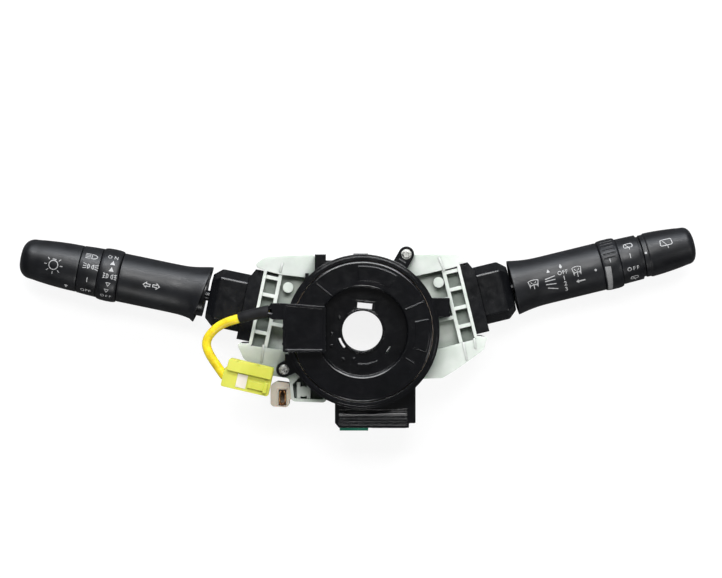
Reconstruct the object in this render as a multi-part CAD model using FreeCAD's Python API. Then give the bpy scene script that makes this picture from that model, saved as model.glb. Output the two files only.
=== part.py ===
"""Steering column combination switch with its airbag clock spring, in millimetres.

The row frame has its origin on the column axis at the rear face of the switch body.
+Z runs along the column towards the driver, +X to the wiper lever and +Y up.
"""
import FreeCAD
import Part
import math
import os
from FreeCAD import Vector

os.makedirs("parts", exist_ok=True)

# Switch body: white nylon moulding
BODY_DEPTH = 44.0
BODY_WALL = 2.0
POCKET_DEEP = 8.5
FLOOR_THICK = 2.0
FLOOR_BACK = BODY_DEPTH - POCKET_DEEP - FLOOR_THICK
RIB = 2.3
RIB_DROP = 0.6
COLUMN_BORE_R = 21.5
COLUMN_BORE_LONG = BODY_DEPTH - 12.0
COLUMN_RELIEF = 0.6
COLUMN_RING_WALL = 2.3
BOSS_R = 4.2
BOSS_WEB = 3.0
BOSS_WEB_LONG = 15.0
SCREW_DEEP = 8.0
WING_POST_R = 3.4
LIGHT_POST = (2.0, 16.0)
WIPER_POST = (3.5, 15.0)
RIB_LINE_BACK = 11.0
RIB_LINE_TOP = 34.0
SHORT_RIBS = (20.0, 8.5, -4.0, -16.0)
LONG_RIBS = (3.5, -9.0)
LONG_RIB_END_T = -6.0
FOOT_RIBS = (-41.0, -34.6)
FOOT_RIB_LOW_Y = -44.5
FOOT_RIB_HIGH_Y = -33.0
FOOT_POSTS = [(-38.0, -39.0)]
BACK_RIBS = [
    ((-10.5, 19.0), (-10.5, 46.0)),
    ((10.5, 19.0), (10.5, 46.0)),
    ((-10.5, -19.0), (-10.5, -37.0)),
    ((10.5, -19.0), (10.5, -37.0)),
    ((-16.5, -16.5), (-37.0, -44.0)),
    ((16.5, -16.5), (36.0, -32.0)),
    ((-21.0, 8.0), (-25.0, 46.0)),
    ((21.0, 8.0), (25.0, 46.0)),
]
BACK_RIB_DROP = 2.0
BODY_OUTLINE_TOP = [(27.0, 45.5, 3.0), (33.0, 49.2, 3.0), (61.0, 49.7, 9.0), (68.3, 44.8, 1.5)]
BODY_OUTLINE_LOW = [
    (80.6, -3.8, 1.5),
    (78.4, -12.0, 3.0),
    (69.4, -18.6, 3.0),
    (59.4, -25.7, 3.0),
    (51.5, -30.4, 4.0),
    (40.0, -30.8, 4.0),
    (18.0, -34.0, 4.0),
    (-17.0, -36.0, 4.0),
    (-24.3, -46.2, 3.0),
    (-45.7, -45.4, 3.0),
    (-47.2, -30.6, 2.0),
    (-60.0, -28.6, 4.0),
    (-76.4, -18.0, 4.0),
    (-81.0, -8.0, 1.5),
]
BODY_OUTLINE_LEFT = [(-70.6, 41.6, 2.0), (-62.2, 48.0, 8.0), (-33.0, 49.4, 3.0), (-27.0, 45.5, 3.0)]

# Slotted boss with the bronze contact clip
CLIP_BOSS_DROP = 2.0
CLIP_BOSS_HIGH = 16.0
CLIP_THICK = 0.8
CLIP_SLOT = (-54.0, -49.0, -48.0, -38.0)
CLIP_BOSS_OUTLINE = [
    (-59.2, -48.6, 2.5),
    (-47.3, -49.4, 2.5),
    (-47.0, -44.2, 0.5),
    (-43.0, -44.2, 0),
    (-43.0, -36.0, 0),
    (-47.3, -36.0, 0.5),
    (-47.3, -33.6, 1.0),
    (-55.0, -32.6, 2.0),
    (-59.2, -35.0, 2.5),
]

# Closed front shelves at the top and bottom of both wings, (x, y, radius)
SHELF_WALL = 2.0
SHELVES = [
    [
        (-90.0, 45.5, 0),
        (-62.6, 38.8, 0.6),
        (-52.4, 36.2, 1.0),
        (-24.0, 33.0, 0),
        (-24.0, 60.0, 0),
        (-90.0, 60.0, 0),
    ],
    [
        (24.0, 33.0, 0),
        (39.5, 36.4, 1.0),
        (58.0, 40.6, 1.0),
        (76.0, 46.8, 0),
        (76.0, 60.0, 0),
        (24.0, 60.0, 0),
    ],
    [
        (-95.0, -7.8, 0),
        (-73.0, -9.4, 0.6),
        (-50.5, -12.6, 1.0),
        (-38.0, -27.0, 0),
        (-50.0, -40.0, 0),
        (-95.0, -40.0, 0),
    ],
    [
        (38.0, -12.0, 0),
        (50.2, -11.4, 1.0),
        (71.3, -5.8, 0.6),
        (92.0, 0.6, 0),
        (92.0, -45.0, 0),
        (30.0, -45.0, 0),
    ],
]

# Lever modules: pivot places, tilt of each lever and height of its axis
LIGHT_PIVOT = (-49.1, 11.9)
WIPER_PIVOT = (49.3, 15.8)
LIGHT_TILT = 11.8
WIPER_TILT = 13.7
CASE_HIGH = 30.5
CASE_LOW_Z = FLOOR_BACK - CASE_HIGH
LEVER_Z = CASE_LOW_Z + 17.0
CASE_BACK_T = -18.0
CASE_HALF_W = 18.0
CASE_WALL = 2.0
FLANGE_T = 19.4
FLANGE_THICK = 8.6
FLANGE_HALF_W = 23.3
FLANGE_CHAMFER = 6.5
FLANGE_LOW_Z = CASE_LOW_Z - 1.0
FLANGE_HIGH_Z = BODY_DEPTH - 2.5
FLANGE_LIP = 1.6
WINDOW_HALF_W = 12.5
WINDOW_HALF_Z = 10.5
GIMBAL_HALF_T = 9.0
GIMBAL_HALF_W = 11.0
TRUNNION_R = 3.0
TRUNNION_END_GAP = 0.4
PIVOT_PIN_R = 2.0
ARM_HALF_W = 5.5
ARM_HALF_Z = 6.0
ARM_BACK_T = -11.0
PLUNGER_R = 2.1
PLUNGER_OUT = 1.6
PLUNGER_LONG = 3.0
PLUNGER_HOLE = 7.5
NECK_R = 3.4
THROAT_GAP = 2.7
THROAT_HALF_W = 14.2
THROAT_HALF_Z = 12.4
CORE_R = 7.0
SPIGOT_R = 5.0
LIGHT_BULKHEAD_T = 62.5
WIPER_BULKHEAD_T = 56.0
LIGHT_SPIGOT_T = 160.0
WIPER_SPIGOT_T = 156.0
RUNNING_GAP = 0.06
FREE_GAP = 0.4
DETENT_HALF = 9.0
DETENT_FRONT_T = -12.0
DETENT_REACH = 15.0
DETENT_NOTCH_R = 2.3
WELL_START_T = 11.2
WELL_END_T = 16.6
WELL_HALF_W = 12.0
WELL_HIGH = 5.6
WELL_WALL = 1.2
BLADE = 0.7
MODULE_PINS = 7
MODULE_PIN_PITCH = 2.7
COVER_POCKETS = [(-15.5, -14.5), (-15.5, 6.5), (-15.5, -4.0)]
COVER_POCKET_LONG = 9.0
COVER_POCKET_WIDE = 8.0
NOTCH_DEEP = 0.3
DETENT_TURNS = (-7.0, 0.0, 7.0)

# Lever necks: the faceted fixed collar that the lever comes out of
COLLAR_HALF_W = 19.0
COLLAR_HALF_Z = 15.0
COLLAR_FACET_W = 5.6
COLLAR_FACET_Z = 6.0
COLLAR_SHOULDER_T = 43.5
COLLAR_NOSE_T = 49.0
COLLAR_NOSE_HALF_W = 14.4
COLLAR_NOSE_HALF_Z = 11.8
NOSE_FACET_W = 4.0
NOSE_FACET_Z = 4.4
LIGHT_NOSE_SHIFT = 2.6
COLLAR_WALL = 1.4

# Light lever outline along its axis
LIGHT_MOUTH_TOP_T = 53.4
LIGHT_MOUTH_LOW_T = 59.4
LIGHT_STALK_END_T = 111.3
LIGHT_RING_END_T = 124.8
LIGHT_BAND_END_T = 138.0
LIGHT_TIP_T = 177.4
STALK_R = 16.0
STALK_HALF_Z = 14.6
SKIRT_HALF_W = 18.9
SKIRT_HALF_Z = 16.4
STALK_WALL = 2.0
FOG_RING_R = 17.3
LIGHT_BAND_R = 16.0
LIGHT_KNOB_R = 15.3
LIGHT_TIP_R = 12.6

# Wiper lever outline along its axis
WIPER_MOUTH_T = 50.6
WIPER_STALK_END_T = 109.6
WIPER_RING_END_T = 121.8
WIPER_BAND_END_T = 135.4
WIPER_KNOB_START_T = 137.6
WIPER_TIP_T = 172.2
WIPER_STALK_R = 15.7
INTERVAL_RING_R = 16.6
WIPER_BAND_R = 14.9
WIPER_KNOB_R = 14.5
WIPER_TIP_R = 11.6
SEAM = 0.4

# Clock spring: stator, rotor and what the rotor carries
STATOR_R = 49.2
STATOR_WALL = 2.0
STATOR_HIGH_Z = BODY_DEPTH + 18.2
RIM_INNER_R = STATOR_R - 4.0
RIM_THICK = 2.0
RIM_STEP = 1.6
RIM_STEP_DEEP = 1.0
BASE_THICK = 2.0
DISC_R = RIM_INNER_R - 0.5
DISC_THICK = 3.0
DISC_TOP_Z = STATOR_HIGH_Z + 1.2
DISC_EDGE = 1.1
RIBBON_SPAN = 20.6
BOWL_R = STATOR_R - RIBBON_SPAN
BOWL_WALL = 1.7
BOWL_EDGE = 1.4
BOWL_FLOOR_Z = BODY_DEPTH + 8.0
BOWL_FLOOR_THICK = 2.0
BASE_LIP_R = BOWL_R - 2.7
BASE_BORE_R = BASE_LIP_R - 2.9
BASE_LIP_HIGH = 3.0
SHAFT_BORE_R = 13.0
HUB_WALL = 1.3
HUB_LOW_Z = BODY_DEPTH - 9.5
HUB_RISE = 1.2
CAM_R = SHAFT_BORE_R + 6.4
CAM_LOBE_R = CAM_R + 1.5
CAM_LOBES = (8.0, 165.0)
CAM_LOBE_SPREAD = 14.0
CAM_THICK = 6.0
CAM_SLOT_INWARD = 2.0
KEY_SLOT_WIDE = 9.6
KEY_SLOT_INNER_R = SHAFT_BORE_R + 1.6
KEY_SLOT_OUTER_R = KEY_SLOT_INNER_R + 3.5
KEY_SLOT_TURN = -5.5
KEY_FRAME = 1.3
ARC_SLOT_START = 197.0
ARC_SLOT_END = 223.0
ARC_SLOT_INNER_R = SHAFT_BORE_R + 1.6
ARC_SLOT_OUTER_R = ARC_SLOT_INNER_R + 1.6
SLIT_MIDDLE_R = SHAFT_BORE_R + 7.5
SLIT_LONG = 5.2
SLIT_WIDE = 1.0
SLIT_ANGLE = -36.0
SCREW_HEAD_R = 2.75
SCREW_HEAD_HIGH = 2.0
SCREW_SHANK_R = 1.5
SCREW_RECESS_R = 1.75
TAB_R = 5.0
TAB_THICK = 4.5
TAB_WEB_HIGH = 9.0
TAB_WEB_WIDE = 5.0
UPPER_TAB_ANGLE = 60.2
UPPER_TAB_OUT = 7.73
LOWER_TAB_ANGLE = 206.15
LOWER_TAB_OUT = 6.84
LUG_X = (-30.4, -23.4)
LUG_DROP = 15.2
LUG_HIGH = 9.0
STEP_X = (-24.0, -19.0)
STEP_DROPS = (9.2, 3.8)
STEP_HIGH = 6.0
NUB_ANGLE = 135.3
NUB_OUT = 0.7
TOP_LAND_X = (-5.7, 3.6)
BLOCK_Y = (9.0, 21.4)
BLOCK_OUT = 6.8
BLOCK_HIGH = 7.0
LOW_SHELF_X = -34.0

# Raised details of the turning disc: lands (start, end, inner, outer, high) and seams (start, end points)
DISC_LANDS = [(58.0, 94.0, 32.4, 41.6, 0.35), (-18.0, 10.5, 34.0, 42.6, 0.35)]
DISC_SEAMS = [
    ((-29.4, 30.4), (-19.6, 22.4)),
    ((27.4, 13.8), (39.4, 19.0)),
    ((27.4, -17.0), (33.0, -20.4)),
]
SEAM_WIDE = 0.7
SEAM_HIGH = 0.3
FLOOR_PEGS = [(-14.6, 8.4), (-19.5, -2.0), (-19.8, -9.5), (-12.4, -18.1), (-5.4, -18.1)]
FLOOR_PEG_R = 1.0
FLOOR_PEG_HIGH = 1.0
FLOOR_LAND = (-98.0, -63.0, 21.0, 22.4)
FLOOR_LAND_HIGH = 0.9

# Ribbon chamber
WINDING_LOW_Z = BODY_DEPTH + 3.4
WINDING_HIGH_Z = BODY_DEPTH + 14.6
INNER_WINDING = 3.0
OUTER_WINDING = 3.4
WINDING_OUTSIDE_R = BOWL_R + BOWL_WALL + INNER_WINDING
WINDING_INSIDE_R = STATOR_R - STATOR_WALL - OUTER_WINDING
ROLLER_CIRCLE_R = (WINDING_OUTSIDE_R + WINDING_INSIDE_R) / 2
ROLLER_SHARE = 0.3714
ROLLER_R = ROLLER_SHARE * (WINDING_INSIDE_R - WINDING_OUTSIDE_R)
AXLE_SHARE = 0.3077
AXLE_R = AXLE_SHARE * ROLLER_R
ROLLER_COUNT = 3
CARRIER_THICK = 1.0

# Rotor box and airbag lead
BOX_LEFT_X = -50.2
BOX_RIGHT_X = -23.2
BOX_LOW_Y = -12.9
BOX_TOP_LEFT_Y = 18.1
BOX_TOP_RIGHT_Y = 15.9
BOX_HIGH_Z = DISC_TOP_Z + 9.6
BOX_WALL = 1.6
LID_THICK = 1.6
LID_BORDER = 1.6
NECK_LEFT_X = -59.6
NECK_LOW_Y = 7.6
BOX_RAILS = (-8.5, 1.5)
SLEEVE_R = 3.8
TUBE_R = 2.9
LEAD_Z = DISC_TOP_Z + 4.2
SLEEVE_ROUTE = [(-58.9, 13.0, LEAD_Z), (-68.0, 11.4, LEAD_Z - 1.2), (-78.2, 8.4, LEAD_Z - 4.0)]
TUBE_ROUTE = [
    (-78.2, 8.4, LEAD_Z - 4.0),
    (-87.58, 5.64, LEAD_Z - 6.58),
    (-95.0, 0.9, LEAD_Z - 8.7),
    (-99.9, -6.0, LEAD_Z - 10.3),
    (-98.9, -12.4, LEAD_Z - 11.2),
    (-94.2, -20.2, LEAD_Z - 12.0),
    (-87.9, -29.0, LEAD_Z - 12.4),
]

# Airbag plug on the lead
PLUG_CENTRE = (-73.6, -29.0)
PLUG_TURN = -13.0
PLUG_HALF_LONG = 15.2
PLUG_HALF_WIDE = 9.4
PLUG_LOW_Z = BODY_DEPTH + 4.2
PLUG_HIGH_Z = PLUG_LOW_Z + 12.2
PLUG_SOCKET_DEEP = 14.0
PLUG_NOTCHES = (-8.0, 5.0)

# Harness sockets under the clock spring
SOCKET_LEFT_X = -17.6
SOCKET_RIGHT_X = 34.2
SOCKET_LOW_Y = -STATOR_R - 13.4
SOCKET_BACK_Z = BODY_DEPTH - 22.0
SOCKET_WALL = 1.8
SOCKET_HIGH_Z = BODY_DEPTH - 0.4
SOCKET_FRONT_Z = BODY_DEPTH + 4.0
SOCKET_STEP_X = 30.0
SOCKET_STEP_Y = SOCKET_LOW_Y + 3.4
SHROUD_TOP_Y = -STATOR_R + 14.0
SHROUD_NOTCH_Y = -STATOR_R + 3.2
BEAD_Y = -STATOR_R - 4.0
BEAD_R = 1.5
INSERT_WALL = 1.4
GREEN_BAY = (-14.6, 3.8)
BLACK_BAY = (6.2, 28.2)
BAY_END_Y = -STATOR_R + 1.4
PIN_TIP_Y = SOCKET_LOW_Y + 3.6
PIN_ROOT_Y = PIN_TIP_Y + 7.0
PIN_PITCH = 3.0
PIN_SIDE = 0.8
PIN_FIRST = 3.4


UPPER_TAB = (
    (STATOR_R + UPPER_TAB_OUT) * math.cos(math.radians(UPPER_TAB_ANGLE)),
    (STATOR_R + UPPER_TAB_OUT) * math.sin(math.radians(UPPER_TAB_ANGLE)),
)
LOWER_TAB = (
    (STATOR_R + LOWER_TAB_OUT) * math.cos(math.radians(LOWER_TAB_ANGLE)),
    (STATOR_R + LOWER_TAB_OUT) * math.sin(math.radians(LOWER_TAB_ANGLE)),
)


def prism(points, low, high):
    """A straight-sided solid on a polygon with sharp corners."""
    wire = Part.makePolygon([Vector(x, y, low) for x, y in points + points[:1]])
    return Part.Face(wire).extrude(Vector(0, 0, high - low))


def rounded_wire(corners, z=0.0):
    """A closed outline of (x, y, radius) corners, each radius a tangent arc."""
    ends = []
    count = len(corners)
    for i in range(count):
        x, y, radius = corners[i]
        here = Vector(x, y, z)
        back = (Vector(corners[i - 1][0], corners[i - 1][1], z) - here).normalize()
        ahead_at = corners[(i + 1) % count]
        ahead = (Vector(ahead_at[0], ahead_at[1], z) - here).normalize()
        if radius == 0:
            ends.append((here, here, here))
            continue
        half = math.acos(max(-1.0, min(1.0, back.dot(ahead)))) / 2
        reach = radius / math.tan(half)
        middle = (back + ahead).normalize()
        centre = here + middle * (radius / math.sin(half))
        ends.append((here + back * reach, centre - middle * radius, here + ahead * reach))
    edges = []
    for i in range(count):
        start, mid, end = ends[i]
        if start != end:
            edges.append(Part.Arc(start, mid, end).toShape())
        following = ends[(i + 1) % count][0]
        if (following - end).Length > 1e-6:
            edges.append(Part.LineSegment(end, following).toShape())
    return Part.Wire(edges)


def rounded(corners, low, high):
    """A straight-sided solid on an outline with rounded corners."""
    return Part.Face(rounded_wire(corners, low)).extrude(Vector(0, 0, high - low))


def box(low, high):
    """A box between two opposite corners."""
    size = [b - a for a, b in zip(low, high)]
    return Part.makeBox(size[0], size[1], size[2], Vector(*low))


def disc(radius, low, high, x=0.0, y=0.0):
    """An upright cylinder."""
    return Part.makeCylinder(radius, high - low, Vector(x, y, low))


def ring(outer, inner, low, high, x=0.0, y=0.0):
    """An upright tube."""
    return disc(outer, low, high, x, y).cut(disc(inner, low, high, x, y))


def sector(outer, inner, low, high, start, end):
    """A part of a tube between two angles in degrees."""
    outer_solid = Part.makeCylinder(outer, high - low, Vector(0, 0, low), Vector(0, 0, 1), end - start)
    turned = outer_solid.cut(disc(inner, low, high))
    turned.rotate(Vector(0, 0, 0), Vector(0, 0, 1), start)
    return turned


def rod(radius, start, end, y=0.0, z=0.0):
    """A cylinder along the lever axis."""
    return Part.makeCylinder(radius, end - start, Vector(start, y, z), Vector(1, 0, 0))


def spun(profile):
    """A body of revolution about the lever axis from (t, radius) corners."""
    wire = Part.makePolygon([Vector(t, r, 0) for t, r in profile + profile[:1]])
    return Part.Face(wire).revolve(Vector(0, 0, 0), Vector(1, 0, 0), 360)


def spun_curve(start, curve, inner_radius, end_t):
    """A solid of revolution whose outside is a smooth curve through (t, radius) points."""
    points = [Vector(t, r, 0) for t, r in curve]
    spline = Part.BSplineCurve()
    spline.interpolate(points)
    first = Vector(start, inner_radius, 0)
    last = Vector(end_t, inner_radius, 0)
    edges = [
        Part.LineSegment(first, points[0]).toShape(),
        spline.toShape(),
        Part.LineSegment(points[-1], last).toShape(),
        Part.LineSegment(last, first).toShape(),
    ]
    return Part.Face(Part.Wire(edges)).revolve(Vector(0, 0, 0), Vector(1, 0, 0), 360)


def oval_wire(t, half_w, half_z, power=2.4, count=20):
    """A closed smooth section across the lever, between an ellipse and a rounded box."""
    points = []
    for i in range(count):
        angle = 2 * math.pi * i / count
        c = math.cos(angle)
        s = math.sin(angle)
        w = half_w * math.copysign(abs(c) ** (2 / power), c)
        z = half_z * math.copysign(abs(s) ** (2 / power), s)
        points.append(Vector(t, w, z))
    curve = Part.BSplineCurve()
    curve.interpolate(points, True)
    return Part.Wire(curve.toShape())


def facet_wire(t, half_w, half_z, facet_w, facet_z):
    """An eight-sided section across the lever."""
    corners = [
        (half_w, half_z - facet_z),
        (half_w - facet_w, half_z),
        (facet_w - half_w, half_z),
        (-half_w, half_z - facet_z),
        (-half_w, facet_z - half_z),
        (facet_w - half_w, -half_z),
        (half_w - facet_w, -half_z),
        (half_w, facet_z - half_z),
    ]
    points = [Vector(t, w, z) for w, z in corners]
    return Part.makePolygon(points + points[:1])


def set_light(shape):
    """Takes a piece from lever coordinates to the light lever's place."""
    out = shape.mirror(Vector(0, 0, 0), Vector(1, 0, 0))
    out.rotate(Vector(0, 0, 0), Vector(0, 0, 1), -LIGHT_TILT)
    out.translate(Vector(LIGHT_PIVOT[0], LIGHT_PIVOT[1], LEVER_Z))
    return out


def set_wiper(shape):
    """Takes a piece from lever coordinates to the wiper lever's place."""
    out = shape.copy()
    out.rotate(Vector(0, 0, 0), Vector(0, 0, 1), WIPER_TILT)
    out.translate(Vector(WIPER_PIVOT[0], WIPER_PIVOT[1], LEVER_Z))
    return out


def light_point(t, w):
    """Where a point in light lever coordinates lies in the row frame."""
    a = math.radians(LIGHT_TILT)
    x = LIGHT_PIVOT[0] - t * math.cos(a) + w * math.sin(a)
    y = LIGHT_PIVOT[1] + t * math.sin(a) + w * math.cos(a)
    return (x, y)


def wiper_point(t, w):
    """Where a point in wiper lever coordinates lies in the row frame."""
    a = math.radians(WIPER_TILT)
    x = WIPER_PIVOT[0] + t * math.cos(a) - w * math.sin(a)
    y = WIPER_PIVOT[1] + t * math.sin(a) + w * math.cos(a)
    return (x, y)


def polar(radius, angle):
    """The point at a radius and an angle in degrees round the column axis."""
    return (radius * math.cos(math.radians(angle)), radius * math.sin(math.radians(angle)))


def rounded_rim(shape, radius, z, size):
    """Rounds the circular edge of one radius at one height."""
    edges = []
    for edge in shape.Edges:
        curve = edge.Curve
        if not isinstance(curve, Part.Circle):
            continue
        if abs(curve.Radius - radius) < 0.001 and abs(curve.Center.z - z) < 0.001:
            edges.append(edge)
    return shape.makeFillet(size, edges)


def bar(start, end, low, high, width=RIB):
    """An upright rib between two points."""
    length = math.hypot(end[0] - start[0], end[1] - start[1])
    turn = math.degrees(math.atan2(end[1] - start[1], end[0] - start[0]))
    out = Part.makeBox(length, width, high - low, Vector(0, -width / 2, low))
    out.rotate(Vector(0, 0, 0), Vector(0, 0, 1), turn)
    out.translate(Vector(start[0], start[1], 0))
    return out


def body_corners():
    """The outline of the switch body, anticlockwise from the top right."""
    upper_right = wiper_point(FLANGE_T, FLANGE_HALF_W + 0.6)
    lower_right = wiper_point(FLANGE_T, -FLANGE_HALF_W - 1.0)
    upper_left = light_point(FLANGE_T, FLANGE_HALF_W + 0.6)
    lower_left = light_point(FLANGE_T, -FLANGE_HALF_W - 1.0)
    right = [(upper_right[0], upper_right[1], 0.3), (lower_right[0], lower_right[1], 0.3)]
    left = [(lower_left[0], lower_left[1], 0.3), (upper_left[0], upper_left[1], 0.3)]
    return (BODY_OUTLINE_TOP + right + BODY_OUTLINE_LOW + left + BODY_OUTLINE_LEFT)[::-1]


def body_ribs():
    """The front ribs of the two wings, from the pocket floor to just under the rim."""
    low = FLOOR_BACK + FLOOR_THICK
    high = BODY_DEPTH - RIB_DROP
    lines = []
    main_t = FLANGE_T - RIB_LINE_BACK
    for point in (light_point, wiper_point):
        lines.append((point(main_t, RIB_LINE_TOP), point(main_t, -RIB_LINE_TOP)))
        for w in SHORT_RIBS:
            lines.append((point(FLANGE_T - 1, w), point(main_t, w)))
        for w in LONG_RIBS:
            lines.append((point(main_t, w), point(LONG_RIB_END_T, w)))
    for x in FOOT_RIBS:
        lines.append(((x, FOOT_RIB_LOW_Y), (x, FOOT_RIB_HIGH_Y)))
    ribs = [bar(start, end, low, high) for start, end in lines]
    for x, y in FOOT_POSTS:
        ribs.append(disc(WING_POST_R, low, high, x, y))
    return ribs


def wing_shelf(corners, inside):
    """A front shelf, hollow from behind, that closes one end of a wing."""
    outline = rounded_wire(corners)
    full = Part.Face(outline).extrude(Vector(0, 0, BODY_DEPTH))
    hollow = Part.Face(outline.makeOffset2D(-SHELF_WALL)).extrude(Vector(0, 0, BODY_DEPTH))
    front = box((-200, -200, FLOOR_BACK), (200, 200, BODY_DEPTH))
    back = box((-200, -200, -1), (200, 200, BODY_DEPTH - SHELF_WALL))
    return full.common(inside).common(front), hollow.common(back)


def switch_body():
    """The white moulding: outer wall, pocket floor, ribs, column ring and bosses."""
    corners = body_corners()
    outer = rounded(corners, 0, BODY_DEPTH)
    inner_wire = rounded_wire(corners).makeOffset2D(-BODY_WALL)
    inner = Part.Face(inner_wire)
    front = inner.copy()
    front.translate(Vector(0, 0, FLOOR_BACK + FLOOR_THICK))
    back = inner.copy()
    shell = outer.cut(front.extrude(Vector(0, 0, BODY_DEPTH)))
    shell = shell.cut(back.extrude(Vector(0, 0, FLOOR_BACK)))
    inside = rounded(corners, 0, BODY_DEPTH)
    core = Part.Face(inner_wire).extrude(Vector(0, 0, BODY_DEPTH))
    for rib in body_ribs():
        shell = shell.fuse(rib.common(inside))
    for start, end in BACK_RIBS:
        shell = shell.fuse(bar(start, end, BACK_RIB_DROP, FLOOR_BACK + FLOOR_THICK / 2).common(inside))
    for shelf_corners in SHELVES:
        shelf, hollow = wing_shelf(shelf_corners, inside)
        shell = shell.fuse(shelf).cut(hollow.common(core))
    shell = shell.fuse(disc(COLUMN_BORE_R + COLUMN_RING_WALL, 0, BODY_DEPTH))
    for x, y in (UPPER_TAB, LOWER_TAB):
        boss_low = FLOOR_BACK - SCREW_DEEP - 4.0
        shell = shell.fuse(disc(BOSS_R, boss_low, BODY_DEPTH, x, y))
        foot = 1 - BOSS_WEB_LONG / math.hypot(x, y)
        shell = shell.fuse(bar((x * foot, y * foot), (x, y), boss_low, BODY_DEPTH, BOSS_WEB))
    for point, t, w in ((light_point, *LIGHT_POST), (wiper_point, *WIPER_POST)):
        x, y = point(t, w)
        shell = shell.fuse(disc(WING_POST_R, FLOOR_BACK, BODY_DEPTH - RIB_DROP, x, y))
    shell = shell.cut(disc(COLUMN_BORE_R, -1, BODY_DEPTH + 1))
    shell = shell.cut(disc(COLUMN_BORE_R + COLUMN_RELIEF, COLUMN_BORE_LONG, BODY_DEPTH + 1))
    for x, y in (UPPER_TAB, LOWER_TAB):
        shell = shell.cut(disc(SCREW_SHANK_R, FLOOR_BACK - SCREW_DEEP, BODY_DEPTH + 1, x, y))
    mouth = box(
        (FLANGE_T - 4 * BODY_WALL, -CASE_HALF_W - FREE_GAP, CASE_LOW_Z - LEVER_Z - 10),
        (FLANGE_T + BODY_WALL, CASE_HALF_W + FREE_GAP, FLOOR_BACK - LEVER_Z),
    )
    shell = shell.cut(set_light(mouth))
    shell = shell.cut(set_wiper(mouth))
    return shell.removeSplitter()


def clip_boss():
    """The slotted boss at the lower left corner, with its foot on the body wall."""
    high = BODY_DEPTH - CLIP_BOSS_DROP
    low = high - CLIP_BOSS_HIGH
    body = rounded(CLIP_BOSS_OUTLINE, low, high).cut(rounded(body_corners(), low - 1, high + 1))
    left, right, bottom, top = CLIP_SLOT
    slot = box((left, bottom, low + 3), (right, top, high + 1))
    lip = box((left - 1.1, bottom - 0.7, high - 0.8), (right + 1.1, top + 0.7, high + 1))
    return body.cut(slot).cut(lip)


def ground_clip():
    """The folded bronze contact tongue that stands in the slotted boss."""
    thick = CLIP_THICK
    high = BODY_DEPTH - CLIP_BOSS_DROP + 0.8
    low = high - CLIP_BOSS_HIGH + 4.6
    slot_left, slot_right, slot_bottom, slot_top = CLIP_SLOT
    left = slot_left + 0.3
    right = slot_right - 0.3
    bottom = slot_bottom + 0.4
    top = slot_top - 0.6
    bend = 1.9
    corners = [(left, bottom, bend), (right, bottom, bend), (right, top, bend), (left, top, bend)]
    outer = rounded(corners, low, high)
    inner = rounded(
        [
            (left + thick, bottom + thick, bend - thick),
            (right - thick, bottom + thick, bend - thick),
            (right - thick, top - thick, bend - thick),
            (left + thick, top - thick, bend - thick),
        ],
        low,
        high,
    )
    loop = outer.cut(inner)
    middle = (left + right) / 2
    gap = box((middle - 0.7, top - 2 * thick, low), (middle + 0.7, top + thick, high))
    return loop.cut(gap)


def module_case():
    """The switch module's case in lever coordinates: a box open to the rear."""
    low = CASE_LOW_Z - LEVER_Z
    high = FLOOR_BACK - LEVER_Z
    outer = box((CASE_BACK_T, -CASE_HALF_W, low + CASE_WALL), (FLANGE_T, CASE_HALF_W, high))
    wall = CASE_WALL
    inner = box(
        (CASE_BACK_T + wall, wall - CASE_HALF_W, low),
        (FLANGE_T - wall, CASE_HALF_W - wall, high - wall),
    )
    window = box(
        (FLANGE_T - 2 * wall, -WINDOW_HALF_W, -WINDOW_HALF_Z),
        (FLANGE_T + 1, WINDOW_HALF_W, WINDOW_HALF_Z),
    )
    out = outer.cut(inner).cut(window)
    return out.cut(disc(TRUNNION_R + RUNNING_GAP, 0, high))


def module_cover():
    """The rear cover of the module with the lower pivot hole and the well for the harness plug."""
    low = CASE_LOW_Z - LEVER_Z
    top = low + CASE_WALL
    plate = box((CASE_BACK_T, -CASE_HALF_W, low), (FLANGE_T, CASE_HALF_W, top))
    well = box((WELL_START_T, -WELL_HALF_W, top), (WELL_END_T, WELL_HALF_W, top + WELL_HIGH))
    mouth = box(
        (WELL_START_T + WELL_WALL, WELL_WALL - WELL_HALF_W, low - 1),
        (WELL_END_T - WELL_WALL, WELL_HALF_W - WELL_WALL, top + WELL_HIGH - WELL_WALL),
    )
    plate = plate.fuse(well).cut(mouth)
    for t, w in COVER_POCKETS:
        far = (t + COVER_POCKET_LONG, w + COVER_POCKET_WIDE, low + CASE_WALL / 2)
        plate = plate.cut(box((t, w, low - 1), far))
    return plate.cut(disc(TRUNNION_R + RUNNING_GAP, low - 1, top + 1))


def module_pins():
    """The row of blades in the module's plug well."""
    low = CASE_LOW_Z - LEVER_Z
    root = low + CASE_WALL + WELL_HIGH - WELL_WALL
    middle = (WELL_START_T + WELL_END_T) / 2
    half = BLADE / 2
    pins = []
    for i in range(MODULE_PINS):
        w = MODULE_PIN_PITCH * (i - (MODULE_PINS - 1) / 2)
        pins.append(box((middle - half, w - half, low + 1.0), (middle + half, w + half, root)))
    return Part.makeCompound(pins)


def detent_block():
    """The hollowed block behind the lever arm with the notches that hold each position."""
    back = CASE_BACK_T + CASE_WALL
    half = DETENT_HALF
    out = box((back, -half, -half), (DETENT_FRONT_T, half, half))
    out = out.cut(Part.makeSphere(DETENT_REACH, Vector(0, 0, 0)))
    for turn in DETENT_TURNS:
        angle = math.radians(turn)
        depth = DETENT_REACH - DETENT_NOTCH_R + NOTCH_DEEP
        for along, across in ((math.sin(angle), 0.0), (0.0, math.sin(angle))):
            middle = Vector(-depth * math.cos(angle), depth * along, depth * across)
            out = out.cut(Part.makeSphere(DETENT_NOTCH_R, middle))
    return out


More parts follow.
